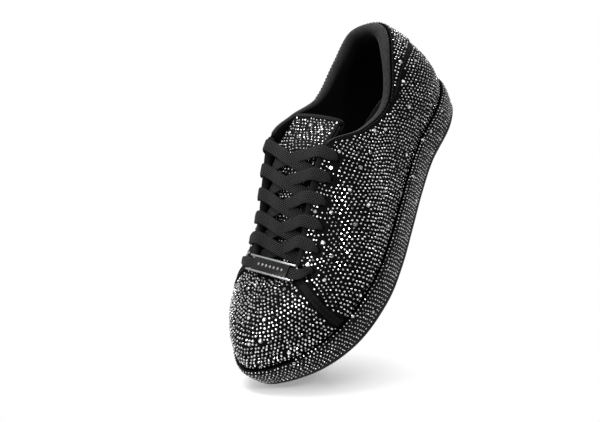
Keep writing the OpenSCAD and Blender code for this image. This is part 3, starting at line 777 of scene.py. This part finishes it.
def build_tongue():
    k = np.linspace(TONGUE_BASE, TONGUE_TOP, 70)[:, None]
    t = np.linspace(-1, 1, 41)[None]
    drop = 0.3 * clamp((abs(t) - 0.93) / 0.07) ** 2
    outer, inner = (tongue_point(k, t * tongue_reach(k), h) for h in (-drop, -1.1))
    slab("tongue_leather", "tongue_face", outer, inner, TONGUE_LEATHER, body="tongue")

    k, turn = np.linspace(TONGUE_BASE + 0.01, TONGUE_TOP - 0.01, 56)[:, None], circle(40)[None]
    wide = np.sign(np.cos(turn)) * abs(np.cos(turn)) ** 0.55
    tall = np.sign(np.sin(turn)) * abs(np.sin(turn)) ** 0.7
    sections = tongue_point(k, wide * (tongue_reach(k) - 0.02), -3.4 + 2.2 * tall)
    pad = tube("tongue_padding", "tongue_foam tongue_lining", sections, KNIT, body="tongue", sharp=None)
    row = np.arange(56)[:, None]
    puff(pad, (tall > 0.3) | (row < 2) | (row > 53), 2.0, 1.6)

    end = tongue_reach(TONGUE_TOP)
    t = np.linspace(end + 0.02, -end - 0.02, 60)[:, None]
    taper = 0.3 + 0.7 * np.sqrt(1 - clamp((abs(t) / end - 0.86) / 0.17) ** 2)
    grids = []
    for ahead, rise in (refine(line, 4).T[:, None] for line in (RIM_OVER, RIM_UNDER)):
        rise = RIM_MIDDLE + (rise - RIM_MIDDLE) * taper
        ahead = np.minimum(ahead, 0.6 + (ahead - 0.6) * taper)
        grids.append(tongue_point(TONGUE_TOP, t, rise) + TONGUE_DIR * ahead[..., None])
    slab("tongue_rim_binding", "tongue_binding", *grids, BINDING, body="tongue")


build_tongue()

# ---- collar and linings

PAD_ROLL = [[0.2, 0.06], [0.42, -0.08], [0.56, -0.3], [0.6, -0.55], [0.5, -0.85], [0.2, -1.08]]
PAD_INNER = [[-0.12, -1.18], [-0.3, -1.12], [-0.5, -0.88], [-0.75, -0.5], [-1, -0.3]]
PAD_BACK = [[-1.03, -0.02], [-0.6, 0.0], [-0.25, 0.0]]
BINDING_OVER = [[-2.6, 1.75], [-0.8, 1.95], [0.4, 1.5], [0.95, 0.4]]
BINDING_OVER += [[0.9, -0.8], [0.5, -2.2], [-0.6, -2.8], [-2.6, -2.8]]
BINDING_UNDER = [[-2.6, 1.4], [-0.8, 1.5], [-0.1, 1.1], [0.1, 0.2]]
BINDING_UNDER += [[0.1, -0.6], [0, -1.8], [-0.6, -2.4], [-2.6, -2.4]]


def pad_thick(u):
    return lerp(7.0, 1.6, smooth((abs(u) - 1.2) / 3.4))


def pad_depth(u):
    return lerp(30.0, 16.0, smooth((abs(u) - 2) / 3))


def build_collar():
    """The padded roll round the foot opening, a closed tube along the top edge."""
    us = np.linspace(-4.96, 4.96, 150)
    sections = []
    for u in us:
        w, h = float(pad_thick(u)), float(pad_depth(u))
        s = 1 + 0.95 / (0.6 * w)
        control = [[0.15, 0.9]]
        control += [[up * w * s, -0.15 + (d + 0.5) * w * s - 0.5 * w] for up, d in PAD_ROLL]
        control += [[up * h, -0.15 + d * w - 0.95] for up, d in PAD_INNER]
        control += [[up * h, -0.9 + d * w] for up, d in PAD_BACK] + [[-0.6, -0.2]]
        fine = refine(control, 3, closed=True)
        sections.append(skin_mm(np.full(len(fine), u), fine[:, 0], fine[:, 1]))
    sections = np.array(sections)
    i, j = np.arange(len(us))[:, None], np.arange(sections.shape[1])[None]
    uv = stack(j / 3.0, us[:, None] * 14)
    pad = tube("collar_padding", "collar_foam", sections, COLLAR_KNIT, uv=uv, sharp=None)
    first_hidden = 3 * (len(PAD_ROLL) + len(PAD_INNER))
    puff(pad, (j >= first_hidden) | (j <= 1) | (i < 2) | (i > len(us) - 3), 1.6, 1.2)


def build_linings():
    u = np.linspace(-4.98, 4.98, 160)[:, None]
    top = 1 - (pad_depth(u) - 6) / rib_length(u)
    v = LOW_V + (top - LOW_V) * np.linspace(0, 1, 26)[None]
    ripple = 0.18 * np.sin(u * 5.3 + 2 * np.sin(v * 9)) * np.sin(v * 17)
    outer, inner = skin(u, v, -1.35), skin(u, v, -2.3 + ripple)
    slab("heel_lining_knit", "collar_lining", outer, inner, SHADED_INNER_KNIT)

    u = np.linspace(CORNER_LAT + 0.04, CORNER_MED - 0.04, 240)[:, None]
    lines = (refine(line, 3).T[:, None] for line in (BINDING_OVER, BINDING_UNDER))
    grids = [skin_mm(u, up, d) for up, d in lines]
    slab("throat_edge_binding", "throat_binding", *grids, BINDING)


def build_insole():
    """Foot bed: closed pads with a dished top, the upper one of fabric, whose rings meet in the middle."""
    u = np.linspace(0, RIB_COUNT, 200, endpoint=False)
    rings = np.array([0.0, 0.12, 0.25, 0.4, 0.55, 0.7, 0.82, 0.9, 0.96, 1.0])
    for name, node, low, high, dish, inset, finish in (
        ("insole_pad", "sockliner_foam", 1.35, 4.75, 0.2, 0.1, FOAM),
        ("insole_fabric", "sockliner_cover", 4.85, 5.5, 0.35, 0.0, KNIT),
    ):
        edge = outline(u, -3.4 - inset)
        levels = [(r, high + dish * r**3 - 0.5 * (r > 0.97)) for r in rings]
        levels += [(r, low + 0.3 * (r > 0.97)) for r in rings[::-1]]
        grid = np.array([stack(*(edge * r).T, feather_z(edge[:, 1] * r) + z) for r, z in levels])
        faces = ring_faces(*grid.shape[:2])[:1]
        pad = make_piece(name, node, grid.reshape(-1, 3), faces, finish, "insole", sharp=None)
        bm = bmesh.new()
        bm.from_mesh(pad.data)
        bmesh.ops.remove_doubles(bm, verts=bm.verts, dist=1e-7)
        bmesh.ops.recalc_face_normals(bm, faces=bm.faces)
        bm.to_mesh(pad.data)
        bm.free()
        pad.data.shade_smooth()


build_collar()
build_linings()
build_insole()

# ---- lace

# Stops of the lace at a hole: mm above the top edge, mm outwards and share of the full width
OVER_HOLE = [[3, 3.7, 1], [-3, 3.5, 1], [-8, 3.3, 0.9], [-11.4, 2.8, 0.5]]
OVER_HOLE += [[-12.5, 0.9, 0.42], [-12.5, -1.5, 0.42]]
UNDER_HOLE = [[-11.2, -3.5, 0.5], [-7, -3.8, 0.9], [-2, -4, 1]]
THROUGH, BAR_END = OVER_HOLE + UNDER_HOLE, OVER_HOLE[3:] + UNDER_HOLE
TUCKED = OVER_HOLE + [[-14, -3.6, 0.5], [-20, -4, 0.8], [-28, -4.2, 0.8]]
TUCKED += [[-33, -4.6, 0.4], [-36, -4.8, 0.28], [-44, -4.8, 0.28]]
# Stops of the two crossing strands over the tongue: share of its half width and mm up
STRANDS = {
    1: [[0.62, 2.4], [0.3, 2.8], [0, 4.3], [-0.35, 4.2], [-0.7, 5.0]],
    -1: [[0.62, 2.4], [0.3, 2.4], [0, 2.4], [-0.35, 3.5], [-0.7, 5.0]],
}
BAR_K, BAR_MID, BAR_WIDE = row_k(ROWS - 1), np.array([1.5, -76.0, 61.5]), 0.85
BAR_TURN = Euler([math.radians(a) for a in (14, 6, -3.5)]).to_matrix()
BAR_AXES = np.array(BAR_TURN)
LAT_KNEE = [[29, -75, 58.6, 0.65, -0.4]]
MED_KNEE = [[-28, -73, 61.6, 0.8, -0.6], [-33.5, -71, 59, 0.62, -0.1]]


def lace_stops(side, k, path):
    u = np.array(eye(side, k))
    return [[*skin_mm(u, up, d), wide, k] for up, d, wide in path]


def lace_crossing(side, i):
    rows = ((t, h, lerp(row_k(i), row_k(i - 1), (1 - t) / 2)) for t, h in STRANDS[side])
    return [[*tongue_point(k, side * t, h), 1, k] for t, h, k in rows]


def lace_half(side):
    out = lace_stops(side, BAR_K, BAR_END)
    for i in range(ROWS - 1, 0, -1):
        out += lace_crossing(side, i)
        side = -side
        out += lace_stops(side, row_k(i - 1), TUCKED if i == 1 else THROUGH)
    return out


def lace_path():
    """Stops from the medial end over the bottom bar to the lateral end: point, width share, k."""
    bar = [[*(BAR_MID + BAR_AXES[:, 0] * x), BAR_WIDE, -1] for x in (23, 11.5, 0, -11.5, -23)]
    return np.array(lace_half(-1)[::-1] + (LAT_KNEE + bar + MED_KNEE)[::-1] + lace_half(1))


def lace_line(step_mm=0.75):
    """Even steps along the lace: run in mm, stops as in lace_path, across and up vectors."""
    fine = refine(lace_path(), 24)
    run = run_length(fine[:, :3])
    at = np.linspace(0, run[-1], int(run[-1] / step_mm))
    line = sample(run, fine, at)
    free = smooth((line[1:-1, 3:4] - 0.85) / 0.15)
    for n in range(60):
        even = 0.5 * (line[:-2, :3] + line[2:, :3])
        line[1:-1, :3] += 0.5 * (free if n > 3 else 1.0) * (even - line[1:-1, :3])
    along = unit(np.gradient(line[:, :3], axis=0))
    k = np.maximum(line[:, 4], BAR_K)
    ahead, behind = (throat_edge(1, k + d) + throat_edge(-1, k + d) for d in (0.1, -0.1))
    level = clamp((BAR_K - line[:, 4:]) / (BAR_K + 1))
    a = unit(lerp(unit(ahead - behind), BAR_AXES[:, 1], level))
    across = unit(a - along * (a * along).sum(1, keepdims=True))
    return at, line, across, np.cross(along, across)


def build_lace():
    """One woven tape; returns its middle line."""
    at, line, across, up = lace_line()
    at, wide = at[:, None], np.clip(line[:, 3:4], 0.28, 1)
    thick = LACE_T * (1 + 0.5 * (1 - wide))
    q = np.cos(np.linspace(0, np.pi, 13))
    x = join([q * 0.5, -q[1:-1] * 0.5])
    body = (1 - abs(2 * x) ** 3.2) ** 0.55
    z = join([body[:13], -body[13:]]) * 0.5
    ribs = 0.06 * np.cos(at / 1.3 * 2 * np.pi) * (abs(x) < 0.42)
    belly = 0.1 * np.cos(x * 2 * np.pi) * np.sign(z + 1e-9)
    rise = z * thick + ribs * np.sign(z) * 0.5 - belly * 0.5
    side = x * LACE_W * wide
    sections = line[:, None, :3] + across[:, None] * side[..., None] + up[:, None] * rise[..., None]
    tube("shoelace_woven", "shoelace", sections, LACE, uv=stack(x * LACE_W + 4, at), sharp=60)
    return line[:, :3]


lace_spots = build_lace()

# ---- lace ornament

BADGE_W, RAIL_W, RAIL_TOP, BAR_T = BAR_WIDE * LACE_W + 4.1, 1.3, 2.1, 0.9
BAR_UNDER = LACE_T / 2 + 0.15 + BAR_T
FACE_LOW, FACE_L, FACE_T = LACE_T / 2 + 0.45, BADGE_L - 10, 0.9
BEADS, BEAD_R, BEAD_PITCH = 7, 1.1, 3.6


def rounded_box(bm, size, at, bevel):
    """Adds a rounded box in mm to a bmesh."""
    matrix = Matrix.Translation(at) @ Matrix.Diagonal((*size, 1))
    made = bmesh.ops.create_cube(bm, size=1, matrix=matrix)["verts"]
    edges = [e for e in bm.edges if e.verts[0] in made]
    bmesh.ops.bevel(bm, geom=edges + made, offset=bevel, segments=3, profile=0.5, affect="EDGES")


def ornament_piece(name, node, bm, finish):
    """A piece from a bmesh in mm, put in its place on the bottom bar of the lace."""
    bmesh.ops.recalc_face_normals(bm, faces=bm.faces)
    bm.transform(Matrix.Scale(0.001, 4) @ Matrix.Translation(BAR_MID - PLAN_MIDDLE) @ BAR_TURN.to_4x4())
    mesh = bpy.data.meshes.new(name)
    bm.to_mesh(mesh)
    bm.free()
    show(name, node, mesh, finish, "ornament", 35)


def build_ornament():
    bm = bmesh.new()
    for side in (-1, 1):
        y, x = side * (BADGE_W / 2 - RAIL_W / 2), side * (BADGE_L / 2 - 0.9)
        rounded_box(bm, (BADGE_L, RAIL_W, BAR_UNDER + RAIL_TOP), (0, y, (RAIL_TOP - BAR_UNDER) / 2), 0.32)
        rounded_box(bm, (1.8, BADGE_W - 1, BAR_T), (x, 0, -BAR_UNDER + BAR_T / 2), 0.2)
    ornament_piece("ornament_rails", "badge_frame", bm, CHROME)
    bm = bmesh.new()
    rounded_box(bm, (FACE_L, BADGE_W - 2 * RAIL_W - 0.1, FACE_T), (0, 0, FACE_LOW + FACE_T / 2), 0.25)
    ornament_piece("ornament_plate", "badge_face", bm, ENAMEL)
    bm = bmesh.new()
    for i in range(BEADS):
        at = Matrix.Translation(((i - BEADS // 2) * BEAD_PITCH, 0, FACE_LOW + 0.75))
        flat = at @ Matrix.Diagonal((1, 1, 0.62, 1))
        bmesh.ops.create_uvsphere(bm, u_segments=20, v_segments=12, radius=BEAD_R, matrix=flat)
    ornament_piece("ornament_beads", "", bm, BEAD)


build_ornament()

# ---- stones

SIDES, BIG_STONE = 8, 1.3


def lay_stones(surface, ends, low, high, pitch, wander=0.5, jitter=0.1, samples=700):
    """Row above row over surface(a, b, h): a runs along a row, between the ends, and b climbs from low(a) to
    high(a). Gives the points, their normals and their places (a, b)."""
    a = np.linspace(*ends, samples)
    lo, hi, gap = (np.broadcast_to(f(a) if callable(f) else f, a.shape) for f in (low, high, pitch))
    b = lo[None] + (hi - lo)[None] * np.linspace(0, 1, 60)[:, None]
    p = surface(np.broadcast_to(a, b.shape), b, 0.0)
    climb = join([np.zeros((1, samples)), np.cumsum(norm(np.diff(p, axis=0), axis=2), 0)])
    found = []
    for row in range(200):
        sway = wander * np.sin(a * 1.7 + row * 0.21) + 0.5 * wander * np.sin(a * 4.3 - row * 0.37)
        target = (0.5 + 0.87 * row + sway * min(1, row / 8)) * gap
        inside = (target <= climb[-1] - 0.4 * gap) & (target > 0)
        if not inside.any():
            break
        bb = np.array([np.interp(target[i], climb[:, i], b[:, i]) for i in range(samples)])
        q = surface(a, bb, 0.0)
        run = join([[0], np.cumsum(norm(np.diff(q, axis=0), axis=1) / gap[1:])])
        spots = np.arange(0.4 + 0.5 * (row % 2), run[-1] - 0.3)
        spots = spots + jitter * rng.uniform(-1, 1, len(spots))
        aa, up = np.interp(spots, run, a), np.interp(spots, run, bb)
        slip = jitter * 0.6 * rng.uniform(-1, 1, len(spots))
        slip = slip * np.interp(aa, a, gap) / np.interp(aa, a, climb[-1])
        up = up + slip * (np.interp(aa, a, hi) - np.interp(aa, a, lo))
        ok = np.interp(spots, run, inside.astype(float)) > 0.999
        found.append(np.stack([aa[ok], up[ok]], 1))
    found = join(found)
    base = surface(found[:, 0], found[:, 1], 0.0)
    return base, unit(surface(found[:, 0], found[:, 1], 1.0) - base), found


def keep(laid, ok):
    return tuple(x[ok] for x in laid)


def keep_clear(laid, spots, clear):
    """Drops stones nearer than clear mm to any of the spots."""
    return keep(laid, norm(laid[0][:, None] - spots, axis=2).min(1) > clear)


def accents(points, radius, share, big):
    """Swaps some stones for larger ones: the new radii, and which stones have room beside them."""
    count = max(1, int(len(points) * share))
    chosen = []
    for i in rng.permutation(len(points)):
        if len(chosen) == count:
            break
        if all(norm(points[i] - points[c]) > 9 for c in chosen):
            chosen.append(i)
    room = np.ones(len(points), bool)
    for c in chosen:
        radius[c] = big * rng.uniform(0.85, 1.15)
        near = norm(points - points[c], axis=1)
        room &= (near > radius[c] + 1.05) | (near == 0)
    return radius, room


def stone_shape(rings):
    """Points and faces of one cut stone of radius 1 from its rings (radius, height, half turn)."""
    pts, tris = [], []
    j = np.arange(SIDES)
    for level, (r, z, half) in enumerate(rings):
        t = (j + 0.5 * half) * 2 * np.pi / SIDES
        pts.append(stack(r * np.cos(t), r * np.sin(t), z))
        if level:
            c, d = (level * SIDES + x for x in (j, (j + 1) % SIDES))
            a, b = c - SIDES, d - SIDES
            tris += [stack(a, b, c), stack(c, b, d)] if half else [stack(a, b, d), stack(c, a, d)]
    tops = np.stack([j[::-1], (len(rings) - 1) * SIDES + j])
    return join(pts), join(tris), tops


SHAPES = {
    True: stone_shape([(1.0, -0.12, 0), (0.84, 0.26, 1), (0.5, 0.5, 0)]),
    False: stone_shape([(1.0, -0.12, 0), (0.6, 0.46, 1)]),
}


def set_stones(part, laid, radii, share, big_r, grow=1.0, finish=STONE, body="shoe"):
    """All the stones of a part as one piece, each turned and tipped its own way."""
    radius = rng.uniform(*radii, len(laid[0])) * grow
    radius, room = accents(laid[0], radius, share, big_r)
    verts, tris, caps, facet_glints, cap_glints, base = [], [], [], [], [], 0
    for big in (False, True):
        p, n, r = (x[room & ((radius > BIG_STONE) == big)] for x in (*laid[:2], radius))
        shape, faces, ends = SHAPES[big]
        n = unit(n + rng.normal(0, 0.05, n.shape))
        a = unit(np.cross(n, rng.normal(0, 1, n.shape)))
        x, y, z = (shape[None] * r[:, None, None]).transpose(2, 0, 1)[..., None]
        v = p[:, None] + x * a[:, None] + y * np.cross(n, a)[:, None] + z * (0.8 if big else 1.0) * n[:, None]
        first = base + np.arange(len(p))[:, None, None] * len(shape)
        verts.append(v.reshape(-1, 3))
        tris.append((faces[None] + first).reshape(-1, 3))
        caps.append((ends[None] + first).reshape(-1, SIDES))
        # painted glints and dark reflections: a random brightness for each stone and facet, the top table its
        # own, the base black
        tone = rng.uniform(0.45, 1.0, (len(p), 1))
        facet_glints.append((tone * rng.random((len(p), len(faces))) ** 2.0).ravel())
        table = np.clip(rng.normal(0.7, 0.28, (len(p), 1)), 0.03, 1.0)
        cap_glints.append(join([0 * table, table], 1).ravel())
        base += len(p) * len(shape)
    polys = [join(tris), join(caps)]
    obj = make_piece("stones_" + part, "crystals_" + part, join(verts), polys, finish, body, sharp=None)
    obj.data.shade_flat()
    attribute = obj.data.attributes.new("facet", "FLOAT", "FACE")
    attribute.data.foreach_set("value", join(facet_glints + cap_glints))


def upper_pitch(u):
    return lerp(2.95, 3.2, smooth(from_heel(u) / 6))


def edge_margin(u, mm):
    return 1 - mm / rib_length(u)


def quarter_high(u):
    """Stones stop at the heel tab, and further from the medial edge, where the collar rolls over."""
    x = from_heel(u)
    edge = np.where(u > TOE_U, 5.0, 2.4)
    return np.where(x < 3.05, tab_low(x) - 1.6 / rib_length(u), edge_margin(u, edge))


def upper_low(u):
    """The lowest stones sit just clear of the cupsole lip."""
    return lerp(0.052, 0.045, smooth((from_heel(u) - 1) / 2))


def on_leather(u, v, h):
    return skin(u, v, 1.42 + h)


def beside_seam(laid, side):
    """Keeps the stones of the lateral quarter (1), vamp (0) or medial quarter (-1) that are clear of the
    bands, and of two stones that crowd each other only the first."""
    points, (u, v) = laid[0], laid[2].T
    clear = BAND_HALF + 1.0
    lateral, medial = ((u - seam_u(seam, v)) * mm_per_rib(u, v) for seam in (SEAM_LAT, SEAM_MED))
    ok = {1: lateral < -clear, 0: (lateral > clear) & (medial < -clear), -1: medial > clear}[side]
    free = np.ones(len(points), bool)
    for i in np.flatnonzero(ok):
        if free[i]:
            free[i + 1 :] &= norm(points[i + 1 :] - points[i], axis=1) >= 1.75
    return keep(laid, ok & free)


for side, part, ends in (
    (1, "quarter_lateral", (0.06, SEAM_LAT + 0.4)),
    (-1, "quarter_medial", (SEAM_MED - 0.2, HEEL - 0.06)),
):
    laid = lay_stones(on_leather, ends, upper_low, quarter_high, upper_pitch, jitter=0.17)
    laid = keep_clear(keep_clear(beside_seam(laid, side), HOLES[side][1], 4.4), lace_spots, 2.5)
    grow = np.interp(from_heel(laid[2][:, 0]), [0, 6], [0.76, 1.09])
    set_stones(part, laid, (0.64, 0.88), 0.02, 1.75, grow)

laid = lay_stones(on_leather, (SEAM_LAT - 0.15, SEAM_MED + 0.1), upper_low, 0.955, 3.05, jitter=0.22)
set_stones("vamp", keep_clear(beside_seam(laid, 0), lace_spots, 2.3), (0.8, 1.0), 0.022, 1.7)

laid = lay_stones(
    lambda u, v, h: skin(u, v, 2.72 + h),
    (-2.75, 2.75),
    lambda u: tab_low(u) + 1.9 / rib_length(u),
    lambda u: edge_margin(u, np.where(u < 0, 5.0, 1.9)),
    2.8,
    wander=0.2,
    jitter=0.15,
)
set_stones("heel_tab", laid, (0.62, 0.8), 0.02, 1.5)


def on_tongue(t, k, h):
    return tongue_point(k, t * tongue_reach(k), 0.1 + h)


laid = lay_stones(on_tongue, (-0.95, 0.95), 0.1, 1.288, 3.0, jitter=0.22, samples=200)
set_stones("tongue", keep_clear(laid, lace_spots, 2.0), (0.64, 0.82), 0.015, 1.7, body="tongue")


def on_wall(u, b, h):
    """The sidewall up to b = 1, then over its crest to where it meets the upper at b = 1.3."""
    w = clamp(b)
    face = wall_point(u, w, 0.08)
    out = unit(wall_point(u, w, 1.08) - face)
    over = clamp((b - 1) / 0.3)[..., None]
    lean = smooth((b - 0.9) / 0.3)[..., None]
    p = lerp(face, skin(u, 0.035, 1.2), 0.72 * over) + Z_UP * 0.3 * np.sin(np.pi * over)
    return p + h * unit(lerp(out, Z_UP, 0.8 * lean))


laid = lay_stones(on_wall, (0.0, RIB_COUNT - 0.03), 0.0, 1.3, 2.95, wander=0.0, jitter=0.12, samples=1600)
set_stones("sidewall", laid, (0.56, 0.76), 0.012, 1.4, finish=WALL_STONE)

# ---- stitching

STITCH_L, STITCH_GAP, STITCH_R = 2.3, 0.7, 0.26
STITCH_X, STITCH_WIDE = np.array([-0.5, -0.4, 0.0, 0.4, 0.5]), np.array([0.25, 0.85, 1.0, 0.85, 0.25])


def stitches(rows):
    """Capsules of thread along lines: each row is (points, normals)."""
    turn = circle(6)[:, None]
    lift = (0.12 - 0.22 * (2 * STITCH_X) ** 2)[:, None, None]
    verts = []
    for points, normals in rows:
        run = run_length(points)
        s = np.arange(STITCH_L, run[-1] - STITCH_L, STITCH_L + STITCH_GAP)[:, None]
        c = sample(run, points, s + STITCH_X * STITCH_L)
        up = unit(sample(run, normals, s))
        side = np.cross(unit(c[:, -1:] - c[:, :1]), up)
        ring = (np.cos(turn) * side + np.sin(turn) * up)[:, None]
        ring = ring * STITCH_R * STITCH_WIDE[:, None, None]
        verts.append((c[:, :, None] + ring + up[:, None] * lift).reshape(-1, 3))
    verts = join(verts)
    quads, *ends = ring_faces(5, 6)
    first = np.arange(0, len(verts), 30)[:, None, None]
    return verts, [(faces + first).reshape(-1, faces.shape[1]) for faces in (quads, join(ends))]


def skin_row(u, v, d):
    p = skin(u, v, d)
    return p, unit(skin(u, v, d + 1.0) - p)


def build_stitching():
    rows = []
    v = np.linspace(0.1, 0.78, 120)
    for seam in (SEAM_LAT, SEAM_MED):
        for off in (-1.7, 1.7):
            p = band_row(seam, v, off, 1.98)
            rows.append((p, unit(band_row(seam, v, off, 2.98) - p)))
    u = np.linspace(-2.9, 2.9, 260)
    rows.append(skin_row(u, tab_low(u) + 0.8 / rib_length(u), 2.6))
    u = np.linspace(-4.9, 4.9, 400)
    rows.append(skin_row(u, edge_margin(u, 1.35), np.where(abs(u) < 3, 2.55, 1.24)))
    for a, b in ((5.1, 7.75), (12.25, 14.9)):
        u = np.linspace(a, b, 200)
        rows.append(skin_row(u, edge_margin(u, 3.4), 1.32))
    make_piece("stitching_upper", "", *stitches(rows), THREAD, sharp=None)


build_stitching()

# ---- stage, lights and camera

VIEW_AZIMUTH, VIEW_ELEVATION, VIEW_ROLL = (math.radians(a) for a in (59.2, 35.66, 41.36))
VIEW_DISTANCE, LENS, SENSOR, CLIP = 0.6018, 50.0, 36, (0.01, 20)
AIM = Vector((-0.0153, -0.0218, 0.0527))
FLOOR_R, FLOOR_TIP = 0.9, math.radians(6)

flat_x, flat_y = math.sin(VIEW_AZIMUTH), -math.cos(VIEW_AZIMUTH)
back = Vector((flat_x, flat_y, 0)) * math.cos(VIEW_ELEVATION) + Vector((0, 0, math.sin(VIEW_ELEVATION)))
level_right = Vector((0, 0, 1)).cross(back).normalized()
cam_up = back.cross(level_right) * math.cos(VIEW_ROLL) + level_right * math.sin(VIEW_ROLL)
cam_right = cam_up.cross(back)


def build_camera():
    camera = add_object("camera", bpy.data.cameras.new("camera"))
    camera.data.lens, camera.data.sensor_width = LENS, SENSOR
    camera.data.clip_start, camera.data.clip_end = CLIP
    turn = Matrix((cam_right, cam_up, back)).transposed().to_4x4()
    camera.matrix_world = Matrix.Translation(AIM + back * VIEW_DISTANCE) @ turn
    scene.camera = camera


def facing(at, direction):
    """A place and a turn whose z axis points along the direction."""
    return Matrix.Translation(at) @ direction.to_track_quat("Z", "Y").to_matrix().to_4x4()


def floor_disc(name, centre, normal, tipped, fade, most):
    """A pale floor that fades out at its rim and is clear from below. One shows to tipped cameras and one to
    level ones."""
    bm = bmesh.new()
    bmesh.ops.create_circle(bm, cap_ends=True, segments=96, radius=FLOOR_R)
    mesh = bpy.data.meshes.new(name)
    bm.to_mesh(mesh)
    bm.free()
    obj = add_object(name, mesh)
    obj.matrix_world = facing(centre, normal)
    f = Finish(name, (0.9, 0.9, 0.9), 0.7, specular=0.1)
    turned = {"vector_type": "VECTOR", "convert_from": "WORLD", "convert_to": "CAMERA"}
    sideways = f.add("SeparateXYZ", {0: f.add("VectorTransform", {0: (0, 0, 1)}, **turned)})
    shown = f.math("GREATER_THAN", f.math("ABSOLUTE", sideways), 0.15)
    if not tipped:
        shown = f.math("SUBTRACT", 1.0, shown)
    reach = f.add("VectorMath", {0: f.add("TexCoord", out=3)}, operation="LENGTH", out=1)
    shown = f.math("MULTIPLY", shown, f.span(reach, *fade, most, 0))
    shown = f.math("MULTIPLY", shown, f.math("SUBTRACT", 1.0, f.add("NewGeometry", out=6)))
    clear = f.add("BsdfTransparent", {0: (1, 1, 1, 1)})
    mixed = f.add("MixShader", {0: shown, 1: clear, 2: f.shader.outputs[0]})
    f.set(f.tree.nodes["Material Output"], {0: mixed})
    mesh.materials.append(f.material)


def build_floors():
    """A level floor, and one under the lowest point of the tipped view."""
    floor_disc("floor_level", Vector((0, 0, -0.0004)), Vector((0, 0, 1)), False, (0.45, 0.85), 1)
    up = (cam_up * math.cos(FLOOR_TIP) + back * math.sin(FLOOR_TIP) - cam_right * 0.06).normalized()
    x, y = outline(np.linspace(0, RIB_COUNT, 400), 3.4).T
    rim = place(join([stack(x, y, ground_z(y) + z) for z in (0.0, 2.0)]))
    lowest = Vector(rim[np.argmin(rim @ np.array(up))])
    floor_disc("floor_tipped", lowest + cam_right * 0.02 - up * 0.001, up, True, (0.025, 0.09), 0.75)


def soft_light(name, direction, distance, size, power):
    data = bpy.data.lights.new(name, "AREA")
    data.shape, data.size, data.energy = "DISK", size, power
    d = direction.normalized()
    add_object(name, data).matrix_world = facing(Vector((0, 0, 0.05)) + d * distance, d)


def build_world():
    """A white surround, dimmer for the light it throws than for what is seen in it."""
    world = bpy.data.worlds.new("studio")
    scene.world = world
    world.use_nodes = True
    sky = Nodes(world.node_tree)
    strength = sky.span(sky.add("LightPath", out="Is Glossy Ray"), 0, 1, 0.42, 0.95)
    strength = sky.span(sky.add("LightPath", out="Is Camera Ray"), 0, 1, strength, 1.0)
    sky.set(world.node_tree.nodes["Background"], {"Strength": strength, "Color": (1, 1, 1, 1)})
    scene.view_settings.view_transform = "Standard"


build_camera()
build_floors()
soft_light("key", cam_up * 0.95 + back * 0.12 - cam_right * 0.35, 1.1, 0.7, 14)
soft_light("fill", back * 0.6 - cam_right * 0.9 + cam_up * 0.1, 1.2, 0.9, 6)
soft_light("overhead", Vector((0.1, -0.1, 1)), 1.2, 0.9, 6)
soft_light("glint", back * 0.9 + cam_right * 0.5 + cam_up * 0.5, 1.3, 0.25, 5)
build_world()

bpy.context.view_layer.update()
